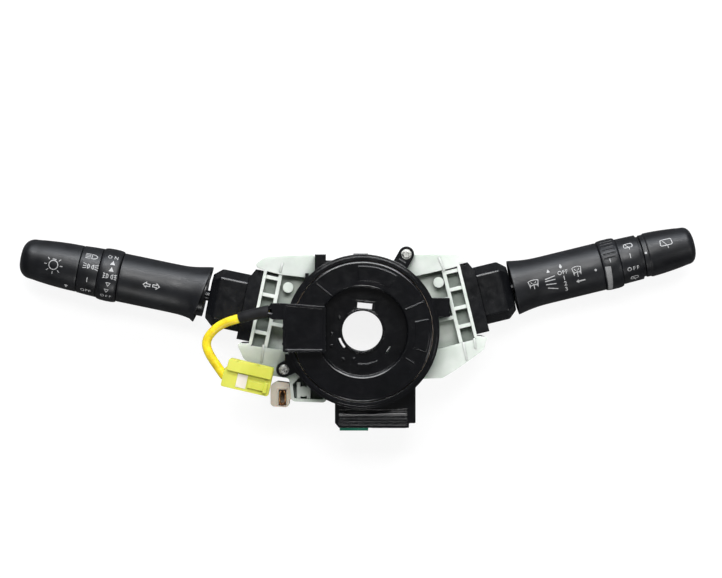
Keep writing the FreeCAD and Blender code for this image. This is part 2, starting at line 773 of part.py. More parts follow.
def module_contacts():
    """The contact board with its rows of blades, on the module's side wall."""
    wall = CASE_WALL
    low = CASE_LOW_Z - LEVER_Z + wall
    side = CASE_HALF_W - wall
    board = box((-14.0, side - 1.2, low + 0.5), (15.0, side, low + 22.0))
    for i in range(5):
        t = -10.0 + 5.0 * i
        board = board.fuse(box((t, side - 2.0, low + 4.0), (t + 2.0, side - 1.2, low + 18.0)))
    return board


def module_flange():
    """The black plate that closes the wing and carries the collar."""
    low = FLANGE_LOW_Z - LEVER_Z
    high = FLANGE_HIGH_Z - LEVER_Z
    t0 = FLANGE_T
    t1 = FLANGE_T + FLANGE_THICK
    w = FLANGE_HALF_W
    outline = [
        (t0, -w),
        (t1, -w),
        (t1, w - FLANGE_CHAMFER),
        (t1 - 0.5 * FLANGE_CHAMFER, w),
        (t0, w),
    ]
    plate = prism(outline, low, high)
    lip = box((t0 + FLANGE_LIP + 1, w - FLANGE_LIP, high - 6), (t0 + FLANGE_LIP + 2, w + 0.1, high + 0.1))
    plate = plate.cut(lip)
    window = box((t0 - 1, -WINDOW_HALF_W, -WINDOW_HALF_Z), (t1 + 1, WINDOW_HALF_W, WINDOW_HALF_Z))
    return plate.cut(window)


def lever_collar(nose_t):
    """The hollow faceted collar, necked in towards the lever."""
    shift = nose_t - COLLAR_NOSE_T
    start = FLANGE_T + FLANGE_THICK
    fw = COLLAR_FACET_W
    fz = COLLAR_FACET_Z
    nw = NOSE_FACET_W
    nz = NOSE_FACET_Z
    shoulder = COLLAR_SHOULDER_T + shift
    full = (COLLAR_HALF_W, COLLAR_HALF_Z)
    nose = (COLLAR_NOSE_HALF_W, COLLAR_NOSE_HALF_Z)
    outer = Part.makeLoft(
        [facet_wire(start, full[0], full[1], fw, fz), facet_wire(shoulder, full[0], full[1], fw, fz)],
        True,
        True,
    )
    neck = Part.makeLoft(
        [facet_wire(shoulder, full[0], full[1], fw, fz), facet_wire(nose_t, nose[0], nose[1], nw, nz)],
        True,
        True,
    )
    cut = COLLAR_WALL
    hollow = Part.makeLoft(
        [
            facet_wire(start - 1, full[0] - cut, full[1] - cut, fw, fz),
            facet_wire(shoulder, full[0] - cut, full[1] - cut, fw, fz),
            facet_wire(nose_t, nose[0] - cut, nose[1] - cut, nw, nz),
            facet_wire(nose_t + 1, nose[0] - cut, nose[1] - cut, nw, nz),
        ],
        True,
        True,
    )
    return outer.fuse(neck).cut(hollow).removeSplitter()


def gimbal():
    """The swinging block on upright trunnions that lets the lever move up and down."""
    bottom = CASE_LOW_Z + CASE_WALL - LEVER_Z
    top = FLOOR_BACK - CASE_WALL - LEVER_Z
    low = bottom + FREE_GAP
    high = top - FREE_GAP
    block = box((-GIMBAL_HALF_T, -GIMBAL_HALF_W, low), (GIMBAL_HALF_T, GIMBAL_HALF_W, high))
    window = box(
        (-GIMBAL_HALF_T - 1, -ARM_HALF_W - FREE_GAP, -ARM_HALF_Z - 2.6),
        (GIMBAL_HALF_T + 1, ARM_HALF_W + FREE_GAP, ARM_HALF_Z + 2.6),
    )
    out = block.cut(window)
    out = out.fuse(disc(TRUNNION_R, high, top + CASE_WALL - TRUNNION_END_GAP))
    out = out.fuse(disc(TRUNNION_R, bottom - CASE_WALL + TRUNNION_END_GAP, low))
    pin = Part.makeCylinder(
        PIVOT_PIN_R, 2 * GIMBAL_HALF_W + 2, Vector(0, -GIMBAL_HALF_W - 1, 0), Vector(0, 1, 0)
    )
    return out.cut(pin).removeSplitter()


def pivot_pin():
    """The steel pin across the gimbal that the lever tips on."""
    return Part.makeCylinder(PIVOT_PIN_R, 2 * GIMBAL_HALF_W, Vector(0, -GIMBAL_HALF_W, 0), Vector(0, 1, 0))


def lever_core(nose_t, bulkhead_t, spigot_t, end_t):
    """The lever's inner arm: hinge block, slim neck, mouth plug, round core and end spigot."""
    block = box((ARM_BACK_T, -ARM_HALF_W, -ARM_HALF_Z), (16.0, ARM_HALF_W, ARM_HALF_Z))
    neck = rod(NECK_R, 15.0, bulkhead_t)
    core = rod(CORE_R, bulkhead_t, spigot_t)
    spigot = rod(SPIGOT_R, spigot_t, end_t)
    plug_ends = [oval_wire(t, THROAT_HALF_W, THROAT_HALF_Z) for t in (nose_t + THROAT_GAP, bulkhead_t)]
    plug = Part.makeLoft(plug_ends, True, False)
    out = block.fuse(neck).fuse(plug).fuse(core).fuse(spigot)
    hole = Part.makeCylinder(
        PIVOT_PIN_R + RUNNING_GAP, 2 * ARM_HALF_W + 2, Vector(0, -ARM_HALF_W - 1, 0), Vector(0, 1, 0)
    )
    out = out.cut(hole)
    plunger_hole = rod(PLUNGER_R + RUNNING_GAP, ARM_BACK_T - 1, ARM_BACK_T + PLUNGER_HOLE)
    return out.cut(plunger_hole).removeSplitter()


def detent_plunger():
    """The sprung nose in the back of the lever arm that clicks over the detents."""
    nose_t = ARM_BACK_T - PLUNGER_OUT
    shank = rod(PLUNGER_R, nose_t, ARM_BACK_T + PLUNGER_LONG)
    nose = Part.makeSphere(PLUNGER_R, Vector(nose_t, 0, 0))
    return shank.fuse(nose).removeSplitter()


def stalk(stations, mouth_top, mouth_low, bulkhead_t, end_t):
    """The hollow outer shell of a lever from its flared mouth to the first ring."""
    outer = Part.makeLoft([oval_wire(t, w, z, p) for t, w, z, p in stations], True, False)
    wall = STALK_WALL
    deep = [s for s in stations if s[0] < bulkhead_t + 3.0]
    after = [s for s in stations if s[0] >= bulkhead_t + 3.0][0]
    deep.append(after)
    mouth = Part.makeLoft([oval_wire(t, w - wall, z - wall, p) for t, w, z, p in deep], True, False)
    side = 2 * SKIRT_HALF_W
    mouth = mouth.common(box((0, -side, -side), (bulkhead_t, side, side)))
    out = outer.cut(mouth)
    inner_r = min(s[2] for s in stations) - wall - 0.6
    well_start = bulkhead_t + 3.0
    well_end = end_t - 3.0
    out = out.cut(spun([(well_start, 0), (well_start, inner_r), (well_end, inner_r), (well_end, 0)]))
    out = out.cut(rod(CORE_R, bulkhead_t - 1, end_t + 1))
    far = 2 * SKIRT_HALF_W
    lean = mouth_low - mouth_top
    middle = (mouth_low + mouth_top) / 2
    slant = prism([(0, -far), (middle + lean, -far), (middle - lean, far), (0, far)], -far, far)
    return out.cut(slant)


def light_stalk():
    """The light lever's shell."""
    z0 = STALK_HALF_Z
    stations = [
        (LIGHT_MOUTH_TOP_T - 0.4, SKIRT_HALF_W, SKIRT_HALF_Z, 2.5),
        (62.0, 17.2, z0 + 0.7, 2.4),
        (70.0, STALK_R + 0.15, z0, 2.3),
        (84.0, STALK_R, z0 + 0.3, 2.2),
        (98.0, STALK_R, z0 + 0.9, 2.1),
        (LIGHT_STALK_END_T - SEAM / 2, STALK_R, STALK_R, 2.0),
    ]
    return stalk(stations, LIGHT_MOUTH_TOP_T, LIGHT_MOUTH_LOW_T, LIGHT_BULKHEAD_T, LIGHT_STALK_END_T)


def wiper_stalk():
    """The wiper lever's shell."""
    r = WIPER_STALK_R
    z0 = STALK_HALF_Z - 0.3
    stations = [
        (WIPER_MOUTH_T, SKIRT_HALF_W - 0.9, SKIRT_HALF_Z - 0.2, 2.5),
        (57.5, 16.6, z0 + 1.0, 2.4),
        (64.0, r + 0.2, z0 + 0.2, 2.3),
        (78.0, r, z0 + 0.3, 2.2),
        (94.0, r, z0 + 0.9, 2.1),
        (WIPER_STALK_END_T - SEAM / 2, r, r, 2.0),
    ]
    return stalk(stations, WIPER_MOUTH_T, WIPER_MOUTH_T, WIPER_BULKHEAD_T, WIPER_STALK_END_T)


def turned_ring(start, end, edge_r, crown_r, bore_r):
    """A hollow ring on the lever core: crowned rim, web and hub."""
    rim = 2.0
    middle = (start + end) / 2
    outer = [
        (start, edge_r - 0.6),
        (start + 0.6, edge_r),
        (middle - 2.4, crown_r),
        (middle + 2.4, crown_r),
        (end - 0.6, edge_r),
        (end, edge_r - 0.6),
    ]
    web = 3.0
    inner = [
        (end, edge_r - rim - 0.6),
        (start + web, edge_r - rim - 0.6),
        (start + web, bore_r + 2.0),
        (end - 0.3, bore_r + 2.0),
        (end - 0.3, bore_r),
        (start, bore_r),
    ]
    return spun(outer + inner)


def fog_ring():
    """The turning fog lamp ring."""
    start = LIGHT_STALK_END_T + SEAM / 2
    end = LIGHT_RING_END_T - SEAM / 2
    return turned_ring(start, end, FOG_RING_R - 0.6, FOG_RING_R, CORE_R + RUNNING_GAP)


def light_band():
    """The fixed band with the light switch marks."""
    start = LIGHT_RING_END_T + SEAM / 2
    end = LIGHT_BAND_END_T - SEAM / 2
    profile = [
        (start, CORE_R),
        (start, LIGHT_BAND_R + 0.1),
        (end, LIGHT_KNOB_R + 0.15),
        (end, LIGHT_KNOB_R - 1.9),
        (start + 3.0, LIGHT_BAND_R - 1.9),
        (start + 3.0, CORE_R + 2.0),
        (end, CORE_R + 2.0),
        (end, CORE_R),
    ]
    return spun(profile)


def end_knob(start, tip_t, knob_r, tip_r, bore_end_t):
    """A cup-shaped end knob with a rounded tip and a hub on the spigot."""
    span = tip_t - start
    curve = [
        (start, knob_r),
        (start + 0.25 * span, knob_r - 0.12 * (knob_r - tip_r)),
        (start + 0.55 * span, knob_r - 0.42 * (knob_r - tip_r)),
        (start + 0.80 * span, tip_r),
        (start + 0.92 * span, tip_r - 1.9),
        (start + 0.985 * span, tip_r - 5.0),
        (tip_t, 1.0),
    ]
    outer = spun_curve(start, curve, 0.0, tip_t)
    wall = 2.2
    hollow = spun(
        [
            (start - 1, SPIGOT_R + 2.2),
            (start - 1, knob_r - wall),
            (start + 0.45 * span, knob_r - wall - 0.9),
            (start + 0.70 * span, tip_r - wall - 0.2),
            (start + 0.70 * span, SPIGOT_R + 2.2),
        ]
    )
    bore = rod(SPIGOT_R + RUNNING_GAP, start - 1, bore_end_t + 0.5)
    return outer.cut(hollow).cut(bore)


def light_knob():
    """The turning end knob of the light lever."""
    start = LIGHT_BAND_END_T + SEAM / 2
    return end_knob(start, LIGHT_TIP_T, LIGHT_KNOB_R, LIGHT_TIP_R, LIGHT_SPIGOT_T)


def wiper_knob():
    """The turning end knob of the wiper lever."""
    return end_knob(WIPER_KNOB_START_T, WIPER_TIP_T, WIPER_KNOB_R, WIPER_TIP_R, WIPER_SPIGOT_T)


def wiper_band():
    """The fixed band with the rear wiper marks."""
    start = WIPER_RING_END_T + SEAM / 2
    end = WIPER_BAND_END_T
    profile = [
        (start, CORE_R),
        (start, WIPER_BAND_R + 0.1),
        (end, WIPER_BAND_R - 0.2),
        (end, WIPER_BAND_R - 1.4),
        (WIPER_KNOB_START_T - SEAM, WIPER_BAND_R - 1.6),
        (WIPER_KNOB_START_T - SEAM, WIPER_BAND_R - 3.2),
        (start + 3.0, WIPER_BAND_R - 3.0),
        (start + 3.0, CORE_R + 2.0),
        (end, CORE_R + 2.0),
        (end, CORE_R),
    ]
    return spun(profile)


def interval_ring():
    """The turning ring for the wiper interval, with a few grip ribs."""
    start = WIPER_STALK_END_T + SEAM / 2
    end = WIPER_RING_END_T - SEAM / 2
    out = turned_ring(start, end, INTERVAL_RING_R - 0.7, INTERVAL_RING_R, CORE_R + RUNNING_GAP)
    for i in range(5):
        angle = 38.0 + 11.0 * i
        groove = box((start + 1.6, -0.5, INTERVAL_RING_R - 0.5), (end - 1.6, 0.5, INTERVAL_RING_R + 1))
        groove.rotate(Vector(0, 0, 0), Vector(1, 0, 0), -angle)
        out = out.cut(groove)
    return out


def stator_housing():
    """The fixed case of the clock spring with its screw tabs, lugs and harness sockets."""
    z0 = BODY_DEPTH
    radius = STATOR_R
    out = ring(radius, radius - STATOR_WALL, z0, STATOR_HIGH_Z)
    out = out.fuse(ring(radius, RIM_INNER_R, STATOR_HIGH_Z - RIM_THICK, STATOR_HIGH_Z))
    out = out.cut(ring(radius + 1, radius - RIM_STEP, STATOR_HIGH_Z - RIM_STEP_DEEP, STATOR_HIGH_Z + 1))
    inside = disc(radius - STATOR_WALL / 2, SOCKET_BACK_Z - 1, STATOR_HIGH_Z + 1)
    for x, y in (UPPER_TAB, LOWER_TAB):
        reach = math.hypot(x, y)
        foot = 1 - 2 * TAB_R / reach
        near = 1 - TAB_R / reach
        tab = disc(TAB_R, z0, z0 + TAB_THICK, x, y)
        arm = bar((x * foot, y * foot), (x, y), z0, z0 + TAB_THICK, 2 * TAB_R)
        web = bar((x * foot, y * foot), (x * near, y * near), z0, z0 + TAB_WEB_HIGH, TAB_WEB_WIDE)
        out = out.fuse(tab.fuse(arm).fuse(web).cut(inside))
    lug = box((LUG_X[0], radius - LUG_DROP, z0), (LUG_X[1], radius, z0 + LUG_HIGH))
    step = box((STEP_X[0], radius - STEP_DROPS[0], z0), (STEP_X[1], radius - STEP_DROPS[1], z0 + STEP_HIGH))
    nub_x, nub_y = polar(radius + NUB_OUT, NUB_ANGLE)
    nub = box((nub_x - 1.1, nub_y - 2.1, z0), (nub_x + 1.1, nub_y + 2.1, z0 + LUG_HIGH))
    land_start, land_end = TOP_LAND_X
    land = box((land_start, radius - STATOR_WALL, z0 + 2.0), (land_end, radius + 0.5, STATOR_HIGH_Z - 4.0))
    block = rounded(
        [
            (radius - BLOCK_OUT, BLOCK_Y[0], 0),
            (radius + BLOCK_OUT, BLOCK_Y[0], 0.8),
            (radius + BLOCK_OUT, BLOCK_Y[1], 0.8),
            (radius - BLOCK_OUT, BLOCK_Y[1], 0),
        ],
        z0,
        z0 + BLOCK_HIGH,
    )
    tab_x, tab_y = LOWER_TAB
    shelf_top = tab_y + 2 * TAB_R
    shelf = prism(
        [
            (-radius - 0.2, shelf_top),
            (TAB_R - radius, shelf_top),
            (LOW_SHELF_X, tab_y - 2 * TAB_R),
            (tab_x + TAB_R / 2, tab_y + TAB_R / 2),
            (-radius - 0.4, tab_y + TAB_R),
        ],
        z0,
        z0 + TAB_WEB_HIGH,
    )
    for piece in (lug, step, nub, land, block, shelf, harness_shroud()):
        out = out.fuse(piece.cut(inside))
    for x, y in (UPPER_TAB, LOWER_TAB):
        out = out.cut(disc(SCREW_RECESS_R, z0 - 1, z0 + TAB_WEB_HIGH + 1, x, y))
    return out.removeSplitter()


def harness_shroud():
    """The box under the clock spring with two bays that open downwards."""
    left = SOCKET_LEFT_X
    right = SOCKET_RIGHT_X
    low = SOCKET_LOW_Y
    back = SOCKET_BACK_Z
    front = SOCKET_FRONT_Z
    edge = SOCKET_STEP_X
    top = SHROUD_TOP_Y
    outline = [
        (left, top, 0),
        (left, low + 3.6, 0.8),
        (left + 2.6, low + 0.4, 0.8),
        (edge, low + 0.4, 0.8),
        (edge, SOCKET_STEP_Y, 0.4),
        (right, SOCKET_STEP_Y, 0.8),
        (right, top, 0),
    ]
    out = rounded(outline, back, front)
    out = out.cut(box((left - 1, SHROUD_NOTCH_Y, back - 1), (right + 1, top + 1, BODY_DEPTH)))
    bead = Part.makeCylinder(BEAD_R, edge - left - 4.0, Vector(left + 2.6, BEAD_Y, front), Vector(1, 0, 0))
    out = out.fuse(bead)
    rail_left = left + 2.6
    rail_right = edge - 1.4
    out = out.fuse(box((rail_left, BEAD_Y + 2.6, front), (rail_right, BEAD_Y + 3.2, front + 0.6)))
    out = out.fuse(box((rail_left, low + 4.6, front), (rail_right, low + 6.4, front + 0.8)))
    out = out.cut(box((rail_left, low + 2.2, front - 0.8), (rail_right, low + 3.4, front + 1)))
    for start, end in (GREEN_BAY, BLACK_BAY):
        out = out.cut(box((start, low - 1, back + SOCKET_WALL), (end, BAY_END_Y, SOCKET_HIGH_Z)))
    return out


def harness_socket(start, end, low_y):
    """One socket insert, open downwards, that fills a bay of the shroud."""
    back = SOCKET_BACK_Z + SOCKET_WALL
    front = SOCKET_HIGH_Z
    wall = INSERT_WALL
    outer = box((start, low_y, back), (end, BAY_END_Y, front))
    inner = box((start + wall, low_y - 1, back + wall), (end - wall, PIN_ROOT_Y, front - wall))
    return outer.cut(inner)


def harness_pins(start, end):
    """Two rows of blade terminals in a socket insert."""
    back = SOCKET_BACK_Z + SOCKET_WALL
    front = SOCKET_HIGH_Z
    count = int((end - start - 5.0) / PIN_PITCH)
    pins = []
    for row in (0.36, 0.64):
        z = back + (front - back) * row
        for i in range(count):
            x = start + PIN_FIRST + PIN_PITCH * i
            pins.append(box((x, PIN_TIP_Y, z - PIN_SIDE / 2), (x + PIN_SIDE, PIN_ROOT_Y, z + PIN_SIDE / 2)))
    return Part.makeCompound(pins)


def stator_base():
    """The floor ring of the clock spring with the lip that the rotor runs on."""
    z0 = BODY_DEPTH
    plate = ring(STATOR_R - STATOR_WALL, BASE_BORE_R, z0, z0 + BASE_THICK)
    lip = ring(BASE_LIP_R, BASE_BORE_R, z0 + BASE_THICK, z0 + BASE_THICK + BASE_LIP_HIGH)
    return plate.fuse(lip).removeSplitter()


def stator_screws():
    """Two cross-head screws that hold the clock spring to the body."""
    screws = []
    top = BODY_DEPTH + TAB_THICK
    for x, y in (UPPER_TAB, LOWER_TAB):
        washer = disc(SCREW_HEAD_R + 0.5, top, top + 0.5, x, y)
        head = disc(SCREW_HEAD_R, top + 0.5, top + SCREW_HEAD_HIGH, x, y)
        head = head.makeFillet(0.7, [head.Edges[0]])
        head = head.fuse(washer)
        for turn in (20, 110):
            slot = box((-1.8, -0.4, top + 1.0), (1.8, 0.4, top + SCREW_HEAD_HIGH + 1))
            slot.rotate(Vector(0, 0, 0), Vector(0, 0, 1), turn)
            slot.translate(Vector(x, y, 0))
            head = head.cut(slot)
        shank = disc(SCREW_SHANK_R, FLOOR_BACK - SCREW_DEEP + 3.0, top, x, y)
        screws.append(head.fuse(shank))
    return Part.makeCompound(screws)


def key_slots(low, high, inward=0.0):
    """The see-through slots round the shaft bore, as solids to cut."""
    key_inner = KEY_SLOT_INNER_R - inward
    arc_inner = ARC_SLOT_INNER_R - inward
    key = box((-KEY_SLOT_WIDE / 2, key_inner, low), (KEY_SLOT_WIDE / 2, KEY_SLOT_OUTER_R, high))
    key.rotate(Vector(0, 0, 0), Vector(0, 0, 1), KEY_SLOT_TURN)
    arc = sector(ARC_SLOT_OUTER_R, arc_inner, low, high, ARC_SLOT_START, ARC_SLOT_END)
    middle = polar(SLIT_MIDDLE_R, SLIT_ANGLE)
    along = polar(SLIT_LONG / 2, SLIT_ANGLE + 90)
    start = (middle[0] - along[0], middle[1] - along[1])
    end = (middle[0] + along[0], middle[1] + along[1])
    return [key, arc, bar(start, end, low, high, SLIT_WIDE)]


def rotor():
    """The turning part: disc, bowl, floor, hub and the raised lands on the disc."""
    low = DISC_TOP_Z - DISC_THICK
    floor_low = BOWL_FLOOR_Z - BOWL_FLOOR_THICK
    out = ring(DISC_R, BOWL_R, low, DISC_TOP_Z)
    out = rounded_rim(out, DISC_R, DISC_TOP_Z, DISC_EDGE)
    out = rounded_rim(out, BOWL_R, DISC_TOP_Z, BOWL_EDGE)
    for start, end, inner, outer, high in DISC_LANDS:
        out = out.fuse(sector(outer, inner, DISC_TOP_Z - DISC_THICK / 2, DISC_TOP_Z + high, start, end))
    for start, end in DISC_SEAMS:
        out = out.fuse(bar(start, end, DISC_TOP_Z - DISC_THICK / 2, DISC_TOP_Z + SEAM_HIGH, SEAM_WIDE))
    out = out.fuse(ring(BOWL_R + BOWL_WALL, BOWL_R, floor_low, low + DISC_THICK / 3))
    out = out.fuse(ring(BOWL_R + BOWL_WALL, SHAFT_BORE_R, floor_low, BOWL_FLOOR_Z))
    for x, y in FLOOR_PEGS:
        out = out.fuse(disc(FLOOR_PEG_R, floor_low + 0.5, BOWL_FLOOR_Z + FLOOR_PEG_HIGH, x, y))
    start, end, inner, outer = FLOOR_LAND
    out = out.fuse(sector(outer, inner, floor_low + 0.5, BOWL_FLOOR_Z + FLOOR_LAND_HIGH, start, end))
    frame = box(
        (-KEY_SLOT_WIDE / 2 - KEY_FRAME, KEY_SLOT_INNER_R, floor_low + 0.5),
        (KEY_SLOT_WIDE / 2 + KEY_FRAME, KEY_SLOT_OUTER_R + KEY_FRAME, BOWL_FLOOR_Z + HUB_RISE),
    )
    frame.rotate(Vector(0, 0, 0), Vector(0, 0, 1), KEY_SLOT_TURN)
    out = out.fuse(frame)
    skirt_low = BODY_DEPTH + BASE_THICK + FREE_GAP
    skirt_inner = BASE_LIP_R + RUNNING_GAP
    out = out.fuse(ring(BOWL_R + BOWL_WALL, skirt_inner, skirt_low, floor_low))
    out = out.fuse(ring(SHAFT_BORE_R + HUB_WALL, SHAFT_BORE_R, HUB_LOW_Z, BOWL_FLOOR_Z + HUB_RISE))
    for cutter in key_slots(floor_low - 1, BOWL_FLOOR_Z + 2):
        out = out.cut(cutter)
    return out.removeSplitter()


def cancel_cam():
    """The cam ring on the hub that cancels the turn signal."""
    low = HUB_LOW_Z
    high = low + CAM_THICK
    inner = SHAFT_BORE_R + HUB_WALL
    out = ring(CAM_R, inner, low, high)
    for middle in CAM_LOBES:
        start = middle - CAM_LOBE_SPREAD
        out = out.fuse(sector(CAM_LOBE_R, inner, low, high, start, start + 2 * CAM_LOBE_SPREAD))
    for cutter in key_slots(low - 1, high + 1, CAM_SLOT_INWARD):
        out = out.cut(cutter)
    return out.removeSplitter()


def inner_winding():
    """The flat cable wound on the rotor."""
    inner = BOWL_R + BOWL_WALL
    return ring(inner + INNER_WINDING, inner, WINDING_LOW_Z, WINDING_HIGH_Z)


def outer_winding():
    """The flat cable wound against the stator wall."""
    outer = STATOR_R - STATOR_WALL
    return ring(outer, outer - OUTER_WINDING, WINDING_LOW_Z, WINDING_HIGH_Z)


def roller_carrier():
    """The floating ring between the windings, with one axle for each roller."""
    r = ROLLER_CIRCLE_R
    low = BODY_DEPTH + BASE_THICK + FREE_GAP
    out = ring(r + 0.9 * ROLLER_R, r - 0.9 * ROLLER_R, low, low + CARRIER_THICK)
    for i in range(ROLLER_COUNT):
        x, y = polar(r, 90 + 360 * i / ROLLER_COUNT)
        out = out.fuse(disc(AXLE_R, low, WINDING_HIGH_Z, x, y))
    return out.removeSplitter()


def roller(index):
    """One roller that the flat cable turns round."""
    x, y = polar(ROLLER_CIRCLE_R, 90 + 360 * index / ROLLER_COUNT)
    low = BODY_DEPTH + BASE_THICK + FREE_GAP + CARRIER_THICK + FREE_GAP
    return ring(ROLLER_R, AXLE_R + RUNNING_GAP, low, WINDING_HIGH_Z - FREE_GAP, x, y)


def box_corners(inset=0.0):
    """The outline of the rotor box, without its cable neck."""
    left = BOX_LEFT_X + inset
    right = BOX_RIGHT_X - inset
    return [
        (left, BOX_LOW_Y + inset, 1.0),
        (right, BOX_LOW_Y + inset, 1.0),
        (right, BOX_TOP_RIGHT_Y - inset, 1.0),
        (left, BOX_TOP_LEFT_Y - inset, 1.0),
    ]


def rotor_box():
    """The connector box on the rotor, open in front, with the neck for the lead."""
    low = DISC_TOP_Z
    top = BOX_HIGH_Z - LID_THICK
    left = BOX_LEFT_X
    out = rounded(box_corners(), low, top)
    neck = rounded(
        [
            (NECK_LEFT_X, NECK_LOW_Y + 1.5, 2.0),
            (NECK_LEFT_X + 3.0, NECK_LOW_Y, 1.0),
            (left + 1, NECK_LOW_Y, 0),
            (left + 1, BOX_TOP_LEFT_Y, 0),
            (NECK_LEFT_X + 2.0, BOX_TOP_LEFT_Y, 2.0),
            (NECK_LEFT_X, BOX_TOP_LEFT_Y - 2.5, 0.8),
        ],
        low,
        top,
    )
    out = out.fuse(neck)
    out = out.cut(rounded(box_corners(BOX_WALL), low + BOX_WALL, top + 1))
    for y in BOX_RAILS:
        out = out.fuse(box((left - 0.5, y, low), (left, y + 1.6, top)))
    start = Vector(*SLEEVE_ROUTE[0])
    along = (Vector(*SLEEVE_ROUTE[1]) - start).normalize()
    out = out.cut(Part.makeCylinder(SLEEVE_R, 12, start + along * 10, along * -1))
    return out.removeSplitter()


def rotor_box_lid():
    """The lid of the rotor box with a raised border."""
    low = BOX_HIGH_Z - LID_THICK
    lid = rounded(box_corners(), low, BOX_HIGH_Z)
    return lid.cut(rounded(box_corners(LID_BORDER), BOX_HIGH_Z - LID_BORDER / 3, BOX_HIGH_Z + 1))


def lead_run(route, radius, name):
    """A round tube along straight runs joined by tangent arcs."""
    points = [Vector(*p) for p in route]
    edges = []
    at = points[0]
    total = 0.0
    for i in range(1, len(points) - 1):
        back = points[i - 1] - points[i]
        ahead = points[i + 1] - points[i]
        turn = math.pi - back.getAngle(ahead)
        shorter = min(back.Length, ahead.Length)
        reach = 0.45 * shorter
        bend = reach / math.tan(turn / 2)
        print(name, "bend", i, "radius", round(bend, 1))
        start = points[i] + back.normalize() * reach
        end = points[i] + ahead.normalize() * reach
        middle = (back + ahead).normalize()
        centre = points[i] + middle * math.hypot(bend, reach)
        mid = centre - middle * bend
        edges.append(Part.LineSegment(at, start).toShape())
        edges.append(Part.Arc(start, mid, end).toShape())
        at = end
    edges.append(Part.LineSegment(at, points[-1]).toShape())
    path = Part.Wire(edges)
    total = path.Length
    circle = Part.Circle(points[0], points[1] - points[0], radius).toShape()
    pipe = path.makePipeShell([Part.Wire(circle)], True, False)
    print(name, "volume", round(pipe.Volume, 1), "of", round(math.pi * radius * radius * total, 1))
    return pipe


def set_plug(shape):
    """Takes a piece from plug coordinates to the plug's place."""
    out = shape.copy()
    out.rotate(Vector(0, 0, 0), Vector(0, 0, 1), PLUG_TURN)
    out.translate(Vector(PLUG_CENTRE[0], PLUG_CENTRE[1], 0))
    return out


def plug_shell():
    """The yellow-green airbag plug with its ridge and its socket at the right end."""
    a = PLUG_HALF_LONG
    b = PLUG_HALF_WIDE
    low = PLUG_LOW_Z
    top = PLUG_HIGH_Z
    outline = [
        (-a, -b, 1.2),
        (a + 0.6, -b, 1.5),
        (a + 0.4, b, 1.2),
        (-a + 1.6, b, 2.0),
        (-a + 1.4, b - 5.6, 1.0),
        (-a, b - 7.4, 1.0),
    ]
    out = rounded(outline, low, top - 2.0)
    ridge = [(-a + 1.8, 1.6, 1.0), (a, 1.6, 1.0), (a, b - 0.6, 1.0), (-a + 1.8, b - 0.6, 1.0)]
    out = out.fuse(rounded(ridge, top - 3.0, top))
    for x in PLUG_NOTCHES:
        out = out.cut(box((x, b - 1.4, top - 3.0), (x + 1.6, b, top + 1)))
    socket = box((a - PLUG_SOCKET_DEEP, -b + 2.4, low + 2.0), (a + 2, b - 2.4, top - 3.6))
    out = set_plug(out.cut(socket))
    mouth = Vector(*TUBE_ROUTE[-1])
    back = Vector(*TUBE_ROUTE[-2])
    entry = Part.makeCylinder(TUBE_R, (mouth - back).Length, back, mouth - back)
    out = out.cut(entry)
    out = out.cut(set_plug(box((-6.0, -b + 1.6, top - 3.2), (0.6, 1.0, top))))
    return out.removeSplitter()


def plug_insert():
    """The pale lock insert in the front of the plug."""
    b = PLUG_HALF_WIDE
    top = PLUG_HIGH_Z
    return set_plug(box((-6.0, -b + 1.6, top - 3.2), (0.6, 1.0, top - 1.8)))


def plug_latch():
    """The latch arm in front of the plug."""
    b = PLUG_HALF_WIDE
    top = PLUG_HIGH_Z
    a = PLUG_HALF_LONG
    arm = box((1.4, -b + 2.6, top - 2.0), (a - 1.0, -2.0, top - 0.8))
    head = box((a - 3.4, -b + 1.6, top - 2.0), (a - 1.0, -1.0, top))
    return set_plug(arm.fuse(head).removeSplitter())


def save(name, shape):
    """Writes one piece."""
    print(name, len(shape.Solids), round(shape.Volume), shape.isValid())
    shape.exportStep("parts/" + name + ".step")


save("switch_body", switch_body())
save("clip_boss", clip_boss())
save("ground_clip", ground_clip())
light_nose = COLLAR_NOSE_T + LIGHT_NOSE_SHIFT
for side, place, nose in (("light", set_light, light_nose), ("wiper", set_wiper, COLLAR_NOSE_T)):
    save(side + "_module_case", place(module_case()))
    save(side + "_module_cover", place(module_cover()))
    save(side + "_module_pins", place(module_pins()))
    save(side + "_detent_block", place(detent_block()))
    save(side + "_contact_board", place(module_contacts()))
    save(side + "_flange", place(module_flange()))
    save(side + "_collar", place(lever_collar(nose)))
    save(side + "_gimbal", place(gimbal()))
    save(side + "_pivot_pin", place(pivot_pin()))
    save(side + "_detent_plunger", place(detent_plunger()))
save(
    "light_lever_core",
    set_light(lever_core(light_nose, LIGHT_BULKHEAD_T, LIGHT_BAND_END_T, LIGHT_SPIGOT_T)),
)
save(
    "wiper_lever_core",
    set_wiper(lever_core(COLLAR_NOSE_T, WIPER_BULKHEAD_T, WIPER_BAND_END_T, WIPER_SPIGOT_T)),
)
save("light_stalk", set_light(light_stalk()))
save("light_fog_ring", set_light(fog_ring()))
save("light_band", set_light(light_band()))
save("light_end_knob", set_light(light_knob()))
save("wiper_stalk", set_wiper(wiper_stalk()))
save("wiper_interval_ring", set_wiper(interval_ring()))
save("wiper_band", set_wiper(wiper_band()))
save("wiper_end_knob", set_wiper(wiper_knob()))
save("stator_housing", stator_housing())
save("stator_base", stator_base())
save("stator_screws", stator_screws())
save("harness_socket_green", harness_socket(*GREEN_BAY, SOCKET_LOW_Y - 1.6))
save("harness_socket_black", harness_socket(*BLACK_BAY, SOCKET_LOW_Y))
save("green_socket_pins", harness_pins(*GREEN_BAY))
save("black_socket_pins", harness_pins(*BLACK_BAY))
save("rotor", rotor())
save("cancel_cam", cancel_cam())
save("inner_winding", inner_winding())
save("outer_winding", outer_winding())
save("roller_carrier", roller_carrier())
